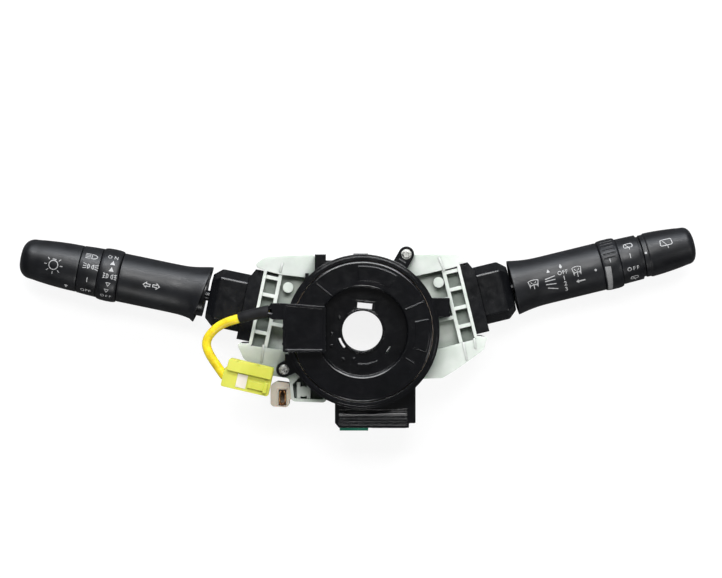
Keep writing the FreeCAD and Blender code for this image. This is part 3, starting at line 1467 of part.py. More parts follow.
for index in range(ROLLER_COUNT):
    save("cable_roller_" + str(index + 1), roller(index))
save("rotor_box", rotor_box())
save("rotor_box_lid", rotor_box_lid())
save("lead_sleeve", lead_run(SLEEVE_ROUTE, SLEEVE_R, "sleeve"))
save("lead_tube", lead_run(TUBE_ROUTE, TUBE_R, "tube"))
save("airbag_plug", plug_shell())
save("plug_lock", plug_insert())
save("plug_latch", plug_latch())
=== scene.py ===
"""Finish of a steering column combination switch with its airbag clock spring, in metres.

The frame has its origin on the column axis at the rear face of the switch body. +Z runs
towards the driver, +X to the wiper lever and +Y up. It lies on its back on a pale table.
"""
import math

import bpy
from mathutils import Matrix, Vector


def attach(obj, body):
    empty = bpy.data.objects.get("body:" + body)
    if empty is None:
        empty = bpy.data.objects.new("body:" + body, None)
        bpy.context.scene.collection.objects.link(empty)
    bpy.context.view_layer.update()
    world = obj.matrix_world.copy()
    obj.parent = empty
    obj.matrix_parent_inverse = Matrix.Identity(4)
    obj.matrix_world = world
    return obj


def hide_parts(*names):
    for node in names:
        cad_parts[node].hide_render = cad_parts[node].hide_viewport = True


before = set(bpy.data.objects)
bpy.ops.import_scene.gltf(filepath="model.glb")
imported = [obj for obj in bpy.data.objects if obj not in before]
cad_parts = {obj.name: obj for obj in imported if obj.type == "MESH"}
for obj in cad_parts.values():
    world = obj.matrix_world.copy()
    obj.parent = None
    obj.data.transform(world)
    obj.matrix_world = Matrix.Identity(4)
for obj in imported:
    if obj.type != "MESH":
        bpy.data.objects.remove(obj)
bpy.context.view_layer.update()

MM = 0.001

# Photograph: the width it shows at the lever plane, and where its camera stands over the part
PHOTO_WIDE_MM = 469.3
CAMERA_OVER_MM = (-0.85, 27.0)
CAMERA_PLANE_MM = 30.0
CAMERA_AWAY_MM = 1500.0
SENSOR_MM = 36.0

# Levers: pivot places, tilt and height of the axis, as in the solids
LIGHT_PIVOT = (-49.1, 11.9)
WIPER_PIVOT = (49.3, 15.8)
LIGHT_TILT = 11.8
WIPER_TILT = 13.7
LEVER_Z = 20.0
CORE_BORE = 7.06
SPIGOT_BORE = 5.06

# Places along a lever's axis, from its pivot
LIGHT_BULKHEAD_T = 62.5
LIGHT_MOUTH_SLANT = 6.2
LIGHT_SPIGOT_T = 160.5
LIGHT_TIP_T = 177.4
WIPER_BULKHEAD_T = 56.0
WIPER_SPIGOT_T = 156.5
WIPER_TIP_T = 172.2

# Lever mouldings: facets round the axis, distance of the rings along it, walls and small rounds
SIDES = 96
STATION_STEP = 1.6
STALK_WALL = 2.0
BULKHEAD_THICK = 3.0
WELL_STEP = 0.6
SLANT_CLEAR = 0.5
RING_WALL = 2.6
RING_WEB = 3.0
RING_HUB_WALL = 2.0
RING_HUB_RECESS = 0.3
KNOB_HUB_WALL = 2.1
KNOB_WALL_DEEP = 3.4
KNOB_WALL_RIM = 2.2
KNOB_HOLLOW_SHARE = 0.45
STALK_ROUND = 0.35
RING_ROUND = 0.25
KNOB_ROUND = 0.5

# Domed tips of the end knobs, from the places of their rings as shares of the dome's height
DOME_SHARES = (0.18, 0.36, 0.54, 0.70, 0.83, 0.92, 0.97)
DOME_POWER = 2.4
DOME_FALL = 0.62
DOME_TAPER = 0.4
DOME_FLAT_SHARE = 0.30
DOME_FLAT_DEEP = 0.05
TIP_CENTRE_R = 0.5
SPIGOT_CENTRE_R = 0.4

# Finger grooves of the interval ring, with start and step in degrees round its crown
GRIP_GROOVES = 6
GRIP_START = 14.5
GRIP_STEP = 10.2
GRIP_R = 0.75
GRIP_LONG = 8.6
GRIP_ROUND = 0.35
GRIP_LIFT = 0.1

# Print: its place over the surface, its thickness, how bold its letters are and its facets
MARK_LIFT = 0.04
MARK_THICK = 0.03
MARK_BOLD = 0.04
MARK_FACET_ROUND = 1.0
MARK_FACET_ALONG = 1.4

# Airbag lead: the route of its centreline
LEAD_ROUTE = [
    (-58.9, 13.0, 67.6),
    (-68.0, 11.4, 66.4),
    (-78.2, 8.4, 63.6),
    (-87.58, 5.64, 61.02),
    (-95.0, 0.9, 58.9),
    (-99.9, -6.0, 57.3),
    (-98.9, -12.4, 56.4),
    (-94.2, -20.2, 55.6),
    (-87.9, -29.0, 55.2),
]
TUBE_R = 2.9
LEAD_CURVE_ORDER = 3
SLEEVE_R = 3.8
SLEEVE_LONG = 20.5
SLEEVE_NARROWING = 0.06
SLEEVE_WAVE = 0.02
SLEEVE_WAVE_TURN = 19.0

# White body: the low ribs on its closed shelves
BODY_FRONT_Z = 44.0
RIB_WIDE = 1.5
RIB_HIGH = 0.5
RIB_SUNK = 0.1
RIB_ROUND = 0.2
SHELF_RIBS = [
    ((-51.3, 43.9), (-52.9, 37.7)),
    ((-63.6, -8.9), (-64.9, -20.6)),
    ((49.1, 47.6), (52.8, 38.9)),
    ((65.0, -7.4), (67.2, -18.8)),
    ((72.0, -4.6), (72.9, -11.4)),
]

# Rounds on the edges of the boxy solids, and the gap in metres under which two vertices are one
NODE_EDGES_MM = {
    "clip_boss": 0.5,
    "ground_clip": 0.12,
    "light_collar": 1.3,
    "wiper_collar": 1.3,
    "airbag_plug": 0.35,
    "plug_lock": 0.2,
    "plug_latch": 0.25,
}
SAME_PLACE = 0.000002

# Studio: radius of the flat floor and rise of each step of its swept edge in metres, with its growth
FLOOR_R = 1.9
FLOOR_SWEEP = [(0.04, 1.12), (0.12, 1.1), (0.26, 1.08), (0.42, 1.05), (0.6, 1.02)]
FLOOR_GLOW = 1.08
FLOOR_GLOW_SHARE = 0.8
ROOM_GLOW = 0.08


def deselect():
    """Nothing is selected and no mesh is open for editing."""
    if bpy.context.object and bpy.context.object.mode != "OBJECT":
        bpy.ops.object.mode_set(mode="OBJECT")
    bpy.ops.object.select_all(action="DESELECT")


def activate(piece):
    """Makes one piece the selected and active one."""
    deselect()
    piece.select_set(True)
    bpy.context.view_layer.objects.active = piece


def edit(piece, kind="VERT"):
    """Opens a piece for editing with nothing selected."""
    activate(piece)
    bpy.ops.object.mode_set(mode="EDIT")
    bpy.ops.mesh.select_mode(type=kind)
    bpy.ops.mesh.select_all(action="DESELECT")


def named(name):
    """Names the primitive that was just added."""
    piece = bpy.context.object
    piece.name = name
    piece.data.name = name
    return piece


def settle(piece):
    """Puts a piece's place, turn and size into its mesh."""
    activate(piece)
    bpy.ops.object.transform_apply(location=True, rotation=True, scale=True)
    return piece


def modify(piece, kind, **settings):
    """Adds a modifier and applies it."""
    activate(piece)
    modifier = piece.modifiers.new(kind.lower(), kind)
    for key, value in settings.items():
        setattr(modifier, key, value)
    bpy.ops.object.modifier_apply(modifier=modifier.name)
    return piece


def join(name, pieces):
    """Joins pieces into the first one."""
    deselect()
    for piece in pieces:
        piece.select_set(True)
    bpy.context.view_layer.objects.active = pieces[0]
    if len(pieces) > 1:
        bpy.ops.object.join()
    return named(name)


def smooth(piece, degrees=32):
    """Smooth shading that keeps the sharp edges."""
    activate(piece)
    bpy.ops.object.shade_smooth_by_angle(angle=math.radians(degrees))
    return piece


def drawn(name, profile, closed=True):
    """A hollow form drawn ring by ring along the lever axis from (t, half width, half height)."""
    t0, w0, h0 = profile[0]
    bpy.ops.mesh.primitive_circle_add(
        vertices=SIDES, radius=MM, location=(0, 0, 0), rotation=(math.pi / 2, 0, math.pi / 2)
    )
    piece = settle(named(name))
    edit(piece)
    bpy.ops.mesh.select_all(action="SELECT")
    bpy.ops.transform.resize(value=(1, w0, h0), center_override=(0, 0, 0))
    bpy.ops.transform.translate(value=(t0 * MM, 0, 0))
    for t1, w1, h1 in profile[1:]:
        bpy.ops.mesh.extrude_edges_move()
        bpy.ops.transform.translate(value=((t1 - t0) * MM, 0, 0))
        bpy.ops.transform.resize(value=(1, w1 / w0, h1 / h0), center_override=(t1 * MM, 0, 0))
        t0, w0, h0 = t1, w1, h1
    if closed:
        bpy.ops.mesh.select_all(action="DESELECT")
        bpy.ops.mesh.select_non_manifold(extend=False, use_boundary=True)
        bpy.ops.mesh.bridge_edge_loops()
    else:
        bpy.ops.mesh.edge_face_add()
    bpy.ops.mesh.select_all(action="SELECT")
    bpy.ops.mesh.normals_make_consistent(inside=False)
    bpy.ops.object.mode_set(mode="OBJECT")
    return piece


def between(stations):
    """Stations filled in with a smooth curve through them all, about one step apart."""
    out = []
    last = len(stations) - 1
    for i in range(last):
        p0 = stations[max(i - 1, 0)]
        p1 = stations[i]
        p2 = stations[i + 1]
        p3 = stations[min(i + 2, last)]
        count = max(1, round((p2[0] - p1[0]) / STATION_STEP))
        for k in range(count):
            u = k / count
            row = []
            for a, b, c, d in zip(p0, p1, p2, p3):
                bend = (2 * a - 5 * b + 4 * c - d) * u * u + (3 * b - a - 3 * c + d) * u ** 3
                row.append(b + 0.5 * ((c - a) * u + bend))
            row[0] = p1[0] + (p2[0] - p1[0]) * u
            out.append(tuple(row))
    out.append(stations[last])
    return out


def section_at(stations, t):
    """Half width and half height of a lever at one place along it."""
    for (t0, w0, h0), (t1, w1, h1) in zip(stations, stations[1:]):
        if t0 <= t <= t1:
            share = (t - t0) / (t1 - t0)
            return w0 + (w1 - w0) * share, h0 + (h1 - h0) * share
    return stations[-1][1:] if t > stations[-1][0] else stations[0][1:]


def place_along(piece, pivot, degrees):
    """Takes a piece from lever coordinates to a lever's pivot and direction."""
    piece.rotation_euler = (0, 0, math.radians(degrees))
    piece.location = (pivot[0] * MM, pivot[1] * MM, LEVER_Z * MM)
    return settle(piece)


def place_light(piece):
    """Puts a piece on the light lever, which points to the left."""
    return place_along(piece, LIGHT_PIVOT, 180 - LIGHT_TILT)


def place_wiper(piece):
    """Puts a piece on the wiper lever, which points to the right."""
    return place_along(piece, WIPER_PIVOT, WIPER_TILT)


def shader(name, colour, rough, **sockets):
    """A new node material with its principled shader and object coordinates ready."""
    made = bpy.data.materials.new(name)
    made.use_nodes = True
    made.diffuse_color = (*colour, 1.0)
    nodes = made.node_tree.nodes
    surface = nodes["Principled BSDF"]
    surface.inputs["Base Color"].default_value = (*colour, 1.0)
    surface.inputs["Roughness"].default_value = rough
    for key, value in sockets.items():
        surface.inputs[key.replace("_", " ")].default_value = value
    place = nodes.new("ShaderNodeTexCoord")
    place.name = "place"
    return made


def node(made, kind, **settings):
    """A node with some of its settings or inputs filled in."""
    out = made.node_tree.nodes.new(kind)
    for key, value in settings.items():
        if hasattr(out, key):
            setattr(out, key, value)
        else:
            out.inputs[key.replace("_", " ")].default_value = value
    return out


def wire(made, start, out_name, end, in_name):
    """Links two nodes."""
    made.node_tree.links.new(start.outputs[out_name], end.inputs[in_name])


def grain(made, scale, detail, stretch=(1, 1, 1), distortion=0.0):
    """Noise over the piece, in metres, and finer or coarser along an axis."""
    mapping = node(made, "ShaderNodeMapping")
    mapping.inputs["Scale"].default_value = stretch
    wire(made, made.node_tree.nodes["place"], "Object", mapping, "Vector")
    noise = node(made, "ShaderNodeTexNoise", Scale=scale, Detail=detail, Distortion=distortion)
    wire(made, mapping, "Vector", noise, "Vector")
    return noise


def ramp(made, source, out_name, stops):
    """A colour ramp on a value, with (position, colour) stops."""
    out = node(made, "ShaderNodeValToRGB")
    line = out.color_ramp
    while len(line.elements) < len(stops):
        line.elements.new(0.5)
    for element, (at, colour) in zip(line.elements, stops):
        element.position = at
        element.color = colour if len(colour) == 4 else (*colour, 1.0)
    wire(made, source, out_name, out, "Fac")
    return out


def tint(made, noise, dark, light, low=0.35, high=0.65):
    """Base colour that wanders between two colours with a noise."""
    line = ramp(made, noise, "Fac", [(low, dark), (high, light)])
    wire(made, line, "Color", made.node_tree.nodes["Principled BSDF"], "Base Color")


def gloss(made, noise, low, high):
    """Roughness that wanders between two values with a noise."""
    span = node(made, "ShaderNodeMapRange", To_Min=low, To_Max=high)
    span.inputs["From Min"].default_value = 0.3
    span.inputs["From Max"].default_value = 0.7
    wire(made, noise, "Fac", span, "Value")
    wire(made, span, "Result", made.node_tree.nodes["Principled BSDF"], "Roughness")


def relief(made, sources, distance=0.0001, soft_edge=0.0):
    """Bumps stacked on the surface from (source, output, strength) entries, over softened edges."""
    last = None
    if soft_edge:
        last = node(made, "ShaderNodeBevel", samples=4, Radius=soft_edge * MM)
    for source, out_name, strength in sources:
        bump = node(made, "ShaderNodeBump", Strength=strength, Distance=distance)
        wire(made, source, out_name, bump, "Height")
        if last:
            wire(made, last, "Normal", bump, "Normal")
        last = bump
    wire(made, last, "Normal", made.node_tree.nodes["Principled BSDF"], "Normal")


def moulded(name, dark, light, low, high, fine=2600.0, bump=0.12, soft_edge=0.3, **sockets):
    """Injection moulded plastic: slow shade drift, rubbed patches and a fine spark-eroded grain.

    It runs from a dark to a light colour and from a low to a high roughness, over softened edges.
    """
    made = shader(name, light, (low + high) / 2, **sockets)
    slow = grain(made, 55.0, 4.0)
    tint(made, slow, dark, light)
    rubbed = grain(made, 170.0, 5.0, distortion=0.6)
    gloss(made, rubbed, low, high)
    skin = grain(made, fine, 2.0)
    flow = grain(made, 420.0, 3.0)
    relief(made, [(flow, "Fac", bump * 0.5), (skin, "Fac", bump)], 0.0001, soft_edge)
    return made


def natural_nylon():
    """Milky uncoloured nylon that lets some light through, with painted shade darkening its pockets and
    recesses.
    """
    made = moulded(
        "natural_nylon_skin", (0.50, 0.545, 0.49), (0.63, 0.665, 0.615), 0.28, 0.44, fine=1500.0, bump=0.10,
        Subsurface_Weight=0.35, Subsurface_Scale=0.006, IOR=1.53,
    )
    surface = made.node_tree.nodes["Principled BSDF"]
    surface.inputs["Subsurface Radius"].default_value = (0.8, 1.0, 0.8)
    # Painted shade: an occlusion ramp multiplies the milky base colour, darkening pockets, recesses and the
    # spaces between ribs.
    painted_shade_occlusion = node(made, "ShaderNodeAmbientOcclusion", samples=4, Distance=0.009)
    depth = ramp(made, painted_shade_occlusion, "AO", [(0.15, (0.30, 0.34, 0.32)), (0.85, (1.0, 1.0, 1.0))])
    shade = node(made, "ShaderNodeMixRGB", blend_type="MULTIPLY", Fac=1.0)
    milk = surface.inputs["Base Color"].links[0].from_socket
    made.node_tree.links.new(milk, shade.inputs["Color1"])
    wire(made, depth, "Color", shade, "Color2")
    wire(made, shade, "Color", surface, "Base Color")
    return made


def lever_skin():
    """Black lever plastic with a leather-like grain of small cells."""
    made = shader("lever_skin", (0.009, 0.010, 0.012), 0.42, Specular_IOR_Level=0.42)
    slow = grain(made, 70.0, 4.0)
    tint(made, slow, (0.0035, 0.0038, 0.0048), (0.0070, 0.0076, 0.0095))
    rubbed = grain(made, 120.0, 5.0, distortion=0.4)
    gloss(made, rubbed, 0.34, 0.46)
    cells = node(made, "ShaderNodeTexVoronoi", feature="DISTANCE_TO_EDGE", Scale=1500.0)
    wire(made, made.node_tree.nodes["place"], "Object", cells, "Vector")
    fine = grain(made, 4200.0, 2.0)
    relief(made, [(cells, "Distance", 0.35), (fine, "Fac", 0.15)])
    return made


def steel_skin():
    """Zinc plated steel with fine turned scratches."""
    made = shader("zinc_steel_skin", (0.62, 0.62, 0.60), 0.3, Metallic=1.0)
    slow = grain(made, 900.0, 4.0)
    tint(made, slow, (0.42, 0.42, 0.40), (0.74, 0.74, 0.71))
    gloss(made, slow, 0.22, 0.42)
    scratch = grain(made, 2400.0, 2.0, (6, 1, 1))
    relief(made, [(scratch, "Fac", 0.25)], 0.00005)
    return made


def spring_bronze_skin():
    """Folded phosphor bronze with heat and handling stains."""
    made = shader("spring_bronze_skin", (0.40, 0.20, 0.09), 0.35, Metallic=1.0)
    stain = grain(made, 420.0, 5.0, (1, 1, 0.4), distortion=0.8)
    tint(made, stain, (0.20, 0.085, 0.03), (0.62, 0.34, 0.16))
    gloss(made, stain, 0.26, 0.5)
    rolled = grain(made, 1800.0, 2.0, (1, 1, 8))
    relief(made, [(rolled, "Fac", 0.2)], 0.00005)
    return made


def tinned_skin():
    """Tinned brass blades."""
    made = shader("tinned_brass_skin", (0.72, 0.66, 0.50), 0.32, Metallic=1.0)
    slow = grain(made, 700.0, 4.0)
    tint(made, slow, (0.58, 0.50, 0.34), (0.80, 0.77, 0.66))
    gloss(made, slow, 0.22, 0.42)
    return made


def cable_skin():
    """Wound flat cable: the edges of its many layers as fine rings round the column."""
    made = shader("flat_cable_skin", (0.55, 0.52, 0.45), 0.4)
    layers = node(
        made, "ShaderNodeTexWave", wave_type="RINGS", rings_direction="Z", Scale=1500.0, Distortion=0.3
    )
    wire(made, made.node_tree.nodes["place"], "Object", layers, "Vector")
    line = ramp(made, layers, "Fac", [(0.25, (0.34, 0.22, 0.13)), (0.6, (0.66, 0.63, 0.56))])
    wire(made, line, "Color", made.node_tree.nodes["Principled BSDF"], "Base Color")
    relief(made, [(layers, "Fac", 0.5)], 0.0001)
    return made


def sleeve_skin():
    """Black woven protective sleeve."""
    made = shader("black_sleeve_skin", (0.005, 0.005, 0.006), 0.62, Specular_IOR_Level=0.25)
    slow = grain(made, 160.0, 4.0)
    tint(made, slow, (0.003, 0.003, 0.0035), (0.009, 0.009, 0.010))
    thread = node(made, "ShaderNodeTexWave", wave_type="BANDS", bands_direction="DIAGONAL")
    thread.inputs["Scale"].default_value = 420.0
    thread.inputs["Distortion"].default_value = 1.2
    wire(made, made.node_tree.nodes["place"], "Object", thread, "Vector")
    fine = grain(made, 2200.0, 2.0)
    relief(made, [(thread, "Fac", 0.5), (fine, "Fac", 0.25)], 0.0002)
    return made


def tube_skin():
    """Soft yellow tube with flat creases and a little grime."""
    made = shader(
        "yellow_tube_skin", (0.80, 0.60, 0.02), 0.36, Subsurface_Weight=0.12, Subsurface_Scale=0.003
    )
    grime = grain(made, 130.0, 5.0, distortion=0.5)
    tint(made, grime, (0.64, 0.47, 0.012), (0.86, 0.70, 0.02))
    gloss(made, grain(made, 260.0, 4.0), 0.28, 0.46)
    crease = grain(made, 210.0, 3.0, distortion=1.5)
    fine = grain(made, 1500.0, 2.0)
    relief(made, [(crease, "Fac", 0.5), (fine, "Fac", 0.12)], 0.0006)
    return made


def print_skin(name, thin, full):
    """Pad print, a little thin in places."""
    made = shader(name, full, 0.55)
    tint(made, grain(made, 1800.0, 3.0), thin, full, 0.3, 0.5)
    return made


SKINS = {
    "natural_nylon": natural_nylon(),
    "beige_nylon": moulded(
        "beige_nylon_skin", (0.47, 0.41, 0.33), (0.62, 0.57, 0.49), 0.38, 0.52, fine=1500.0, bump=0.10,
        Subsurface_Weight=0.2, Subsurface_Scale=0.004,
    ),
    "bronze": spring_bronze_skin(),
    "black_gloss": moulded(
        "black_gloss_skin", (0.0016, 0.0018, 0.0024), (0.0030, 0.0032, 0.0042), 0.11, 0.19,
        fine=3200.0, bump=0.018, soft_edge=0.6, Specular_IOR_Level=0.75,
    ),
    "black_satin": moulded(
        "black_satin_skin", (0.002, 0.0022, 0.0028), (0.004, 0.0044, 0.0054), 0.18, 0.28,
        bump=0.03, soft_edge=0.35,
    ),
    "lever_black": lever_skin(),
    "zinc_steel": steel_skin(),
    "green_plastic": moulded("green_plastic_skin", (0.012, 0.19, 0.11), (0.03, 0.29, 0.18), 0.30, 0.45),
    "tin_brass": tinned_skin(),
    "natural_acetal": moulded("natural_acetal_skin", (0.66, 0.65, 0.60), (0.76, 0.75, 0.71), 0.30, 0.44),
    "flat_cable": cable_skin(),
    "black_sleeve": sleeve_skin(),
    "yellow_tube": tube_skin(),
    "yellow_plastic": moulded(
        "yellow_plastic_skin", (0.47, 0.48, 0.045), (0.58, 0.58, 0.085), 0.34, 0.48, fine=1800.0, bump=0.08,
        Subsurface_Weight=0.15, Subsurface_Scale=0.003,
    ),
    "pale_lock": moulded("pale_lock_skin", (0.58, 0.53, 0.45), (0.70, 0.65, 0.58), 0.36, 0.5),
    "white_print": print_skin("white_print_skin", (0.20, 0.20, 0.20), (0.42, 0.42, 0.42)),
    "grey_print": print_skin("grey_print_skin", (0.13, 0.13, 0.13), (0.21, 0.21, 0.21)),
}


def dress(piece, slot):
    """Gives a piece its skin."""
    piece.data.materials.clear()
    piece.data.materials.append(SKINS[slot])


def finish_piece(piece, slot, body, *stands_for):
    """Skin, body and the solids that a new piece stands for."""
    dress(piece, slot)
    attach(piece, body)
    if stands_for:
        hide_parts(*stands_for)


def rounded_rims(piece, width, segments=3, degrees=40):
    """Small rounds on the sharp rims of a piece."""
    limit = math.radians(degrees)
    return modify(
        piece, "BEVEL", width=width * MM, segments=segments, limit_method="ANGLE", angle_limit=limit
    )


# Outlines of the lever pieces, each entry with its place along the axis, half width and half height
LIGHT_STALK = between([
    (53.0, 18.9, 16.4),
    (57.0, 18.2, 15.9),
    (62.0, 17.2, 15.3),
    (66.0, 16.55, 14.9),
    (70.0, 16.15, 14.6),
    (78.0, 16.0, 14.7),
    (88.0, 16.0, 15.05),
    (98.0, 16.0, 15.5),
    (111.1, 16.0, 16.0),
])
LIGHT_RING = [
    (111.5, 16.3, 16.3),
    (112.4, 16.85, 16.85),
    (114.2, 17.18, 17.18),
    (118.0, 17.3, 17.3),
    (121.8, 17.15, 17.15),
    (123.6, 16.8, 16.8),
    (124.6, 16.3, 16.3),
]
LIGHT_BAND = [(125.0, 16.1, 16.1), (131.4, 15.85, 15.85), (137.8, 15.45, 15.45)]
LIGHT_KNOB = between([
    (138.2, 15.3, 15.3),
    (146.0, 15.15, 15.15),
    (155.0, 14.6, 14.6),
    (163.0, 13.85, 13.85),
    (169.0, 13.1, 13.1),
])
WIPER_STALK = between([
    (50.6, 18.0, 16.2),
    (54.0, 17.35, 15.8),
    (58.0, 16.65, 15.3),
    (64.0, 15.95, 14.6),
    (70.0, 15.72, 14.4),
    (78.0, 15.7, 14.6),
    (94.0, 15.7, 15.2),
    (109.4, 15.7, 15.7),
])
WIPER_RING = [
    (109.8, 15.9, 15.9),
    (110.9, 16.35, 16.35),
    (113.2, 16.58, 16.58),
    (118.2, 16.6, 16.6),
    (120.4, 16.35, 16.35),
    (121.6, 15.9, 15.9),
]
WIPER_BAND = [(122.0, 15.0, 15.0), (128.7, 14.85, 14.85), (135.4, 14.7, 14.7)]
WIPER_BAND_LIP = [(135.4, 13.4, 13.4), (137.2, 13.2, 13.2)]
WIPER_KNOB = [(137.6, 13.9, 13.9), (140.6, 13.9, 13.9)] + between([
    (141.1, 14.5, 14.5),
    (147.0, 14.3, 14.3),
    (154.0, 13.75, 13.75),
    (161.0, 13.0, 13.0),
    (166.5, 12.25, 12.25),
])


def round_at(t, radius):
    """A profile entry of a round section."""
    return (t, radius, radius)


def lever_shell(name, stations, bulkhead, slant):
    """The hollow stalk: flared skirt, inner wall, bulkhead and a bore for the lever's core.

    The mouth is cut aslant, so that one side of the skirt ends that much earlier.
    """
    end_t, end_w, end_h = stations[-1]
    inside = [(t, w - STALK_WALL, h - STALK_WALL) for t, w, h in stations if t < bulkhead][::-1]
    well = end_w - STALK_WALL - WELL_STEP
    profile = stations + [
        round_at(end_t, well),
        round_at(bulkhead + BULKHEAD_THICK, well),
        round_at(bulkhead + BULKHEAD_THICK, CORE_BORE),
        round_at(bulkhead, CORE_BORE),
    ]
    w, h = section_at(stations, bulkhead)
    profile += [(bulkhead, w - STALK_WALL, h - STALK_WALL)] + inside
    piece = drawn(name, profile)
    mouth = stations[0][0]
    for vertex in piece.data.vertices:
        t = vertex.co.x / MM
        fade = max(0.0, 1.0 - (t - mouth) / (bulkhead - mouth - SLANT_CLEAR))
        vertex.co.x += slant * MM * fade * (1 + vertex.co.y / (stations[0][1] * MM)) / 2
    return rounded_rims(piece, STALK_ROUND)


def turned_ring(name, outside):
    """A ring or band: its rim, a web and a hub on the lever's core."""
    start = outside[0][0]
    end = outside[-1][0]
    inner = outside[-1][1] - RING_WALL
    profile = outside + [
        round_at(end, inner),
        round_at(start + RING_WEB, inner),
        round_at(start + RING_WEB, CORE_BORE + RING_HUB_WALL),
        round_at(end - RING_HUB_RECESS, CORE_BORE + RING_HUB_WALL),
        round_at(end - RING_HUB_RECESS, CORE_BORE),
        round_at(start, CORE_BORE),
    ]
    return rounded_rims(drawn(name, profile), RING_ROUND)


def end_knob(name, side, tip, spigot):
    """The cup-shaped end knob with its domed tip and its hub."""
    start, radius, _ = side[0]
    end, end_radius, _ = side[-1]
    hollow_end = start + KNOB_HOLLOW_SHARE * (tip - start)
    profile = [
        round_at(spigot, SPIGOT_CENTRE_R),
        round_at(spigot, SPIGOT_BORE),
        round_at(start, SPIGOT_BORE),
        round_at(start, SPIGOT_BORE + KNOB_HUB_WALL),
        round_at(hollow_end, SPIGOT_BORE + KNOB_HUB_WALL),
        round_at(hollow_end, radius - KNOB_WALL_DEEP),
        round_at(start, radius - KNOB_WALL_RIM),
    ] + side
    reach = tip - end
    for share in DOME_SHARES:
        fall = 1.0 - math.sqrt(max(0.0, 1.0 - share ** DOME_POWER))
        dome_radius = end_radius * (1.0 - DOME_FALL * fall) - DOME_TAPER * share
        profile.append(round_at(end + reach * share, dome_radius))
    profile.append(round_at(tip - DOME_FLAT_DEEP, end_radius * DOME_FLAT_SHARE))
    profile.append(round_at(tip, TIP_CENTRE_R))
    piece = drawn(name, profile, closed=False)
    edit(piece)
    bpy.ops.mesh.select_non_manifold(extend=False, use_boundary=True)
    bpy.ops.mesh.fill_holes(sides=0)
    bpy.ops.mesh.select_all(action="SELECT")
    bpy.ops.mesh.normals_make_consistent(inside=False)
    bpy.ops.object.mode_set(mode="OBJECT")
    return rounded_rims(piece, KNOB_ROUND)


def grip_ring(name, outside):
    """The interval ring with finger grooves across its crown."""
    piece = turned_ring(name, outside)
    cutters = []
    middle = (outside[0][0] + outside[-1][0]) / 2
    radius = outside[2][1] + GRIP_LIFT
    for i in range(GRIP_GROOVES):
        angle = math.radians(GRIP_START + GRIP_STEP * i)
        bpy.ops.mesh.primitive_cylinder_add(
            vertices=16,
            radius=GRIP_R * MM,
            depth=GRIP_LONG * MM,
            location=(middle * MM, radius * MM * math.sin(angle), radius * MM * math.cos(angle)),
            rotation=(0, math.pi / 2, 0),
        )
        cutters.append(rounded_rims(settle(named("groove")), GRIP_ROUND, segments=2, degrees=50))
    cutter = join("grooves", cutters)
    modify(piece, "BOOLEAN", operation="DIFFERENCE", solver="EXACT", object=cutter)
    bpy.data.objects.remove(cutter)
    return piece


def finish_shell(piece, body, solid):
    """Smooth shading, lever skin, body and solid of an outer piece of a lever."""
    finish_piece(smooth(piece), "lever_black", body, solid)


def light_lever_pieces():
    """The four outer pieces of the light lever."""
    stalk = lever_shell("light_stalk_shell", LIGHT_STALK, LIGHT_BULKHEAD_T, LIGHT_MOUTH_SLANT)
    finish_shell(place_light(stalk), "light_lever", "light_stalk")
    ring = turned_ring("light_fog_ring_skin", LIGHT_RING)
    finish_shell(place_light(ring), "fog_ring", "light_fog_ring")
    band = turned_ring("light_band_skin", LIGHT_BAND)
    finish_shell(place_light(band), "light_lever", "light_band")
    knob = end_knob("light_end_knob_skin", LIGHT_KNOB, LIGHT_TIP_T, LIGHT_SPIGOT_T)
    finish_shell(place_light(knob), "light_knob", "light_end_knob")


def wiper_lever_pieces():
    """The four outer pieces of the wiper lever."""
    stalk = lever_shell("wiper_stalk_shell", WIPER_STALK, WIPER_BULKHEAD_T, 0.0)
    finish_shell(place_wiper(stalk), "wiper_lever", "wiper_stalk")
    ring = grip_ring("wiper_interval_ring_skin", WIPER_RING)
    finish_shell(place_wiper(ring), "interval_ring", "wiper_interval_ring")
    band = turned_ring("wiper_band_skin", WIPER_BAND + WIPER_BAND_LIP)
    finish_shell(place_wiper(band), "wiper_lever", "wiper_band")
    knob = end_knob("wiper_end_knob_skin", WIPER_KNOB, WIPER_TIP_T, WIPER_SPIGOT_T)
    finish_shell(place_wiper(knob), "wiper_knob", "wiper_end_knob")


light_lever_pieces()
wiper_lever_pieces()


def mark_plate(corners):
    """A flat closed shape of the print, from its corners in millimetres."""
    bpy.ops.mesh.primitive_circle_add(
        vertices=len(corners), radius=MM, fill_type="NGON", location=(0, 0, 0)
    )
    piece = named("mark")
    for vertex, (x, y) in zip(piece.data.vertices, corners):
        vertex.co = (x * MM, y * MM, 0.0)
    return piece


def mark_outline(corners, wide):
    """A closed line of the print, drawn inside its corners."""
    piece = mark_plate(corners)
    edit(piece, "FACE")
    bpy.ops.mesh.select_all(action="SELECT")
    bpy.ops.mesh.inset(thickness=wide * MM, depth=0)
    bpy.ops.mesh.delete(type="FACE")
    bpy.ops.object.mode_set(mode="OBJECT")
    return piece


def mark_dash(x, y, long, wide, turn=0.0, taper=1.0):
    """A straight stroke from its middle, thinner at its far end with a taper under 1."""
    a = long / 2
    b = wide / 2
    c = math.cos(math.radians(turn))
    s = math.sin(math.radians(turn))
    corners = [(-a, -b), (a, -b * taper), (a, b * taper), (-a, b)]
    return mark_plate([(x + p * c - q * s, y + p * s + q * c) for p, q in corners])


def arc_points(x, y, rx, ry, start, end, count):
    """Points along part of an ellipse."""
    points = []
    for i in range(count + 1):
        angle = math.radians(start + (end - start) * i / count)
        points.append((x + rx * math.cos(angle), y + ry * math.sin(angle)))
    return points


def mark_dot(x, y, radius):
    """A round dot."""
    return mark_plate(arc_points(x, y, radius, radius, 0, 330, 11))


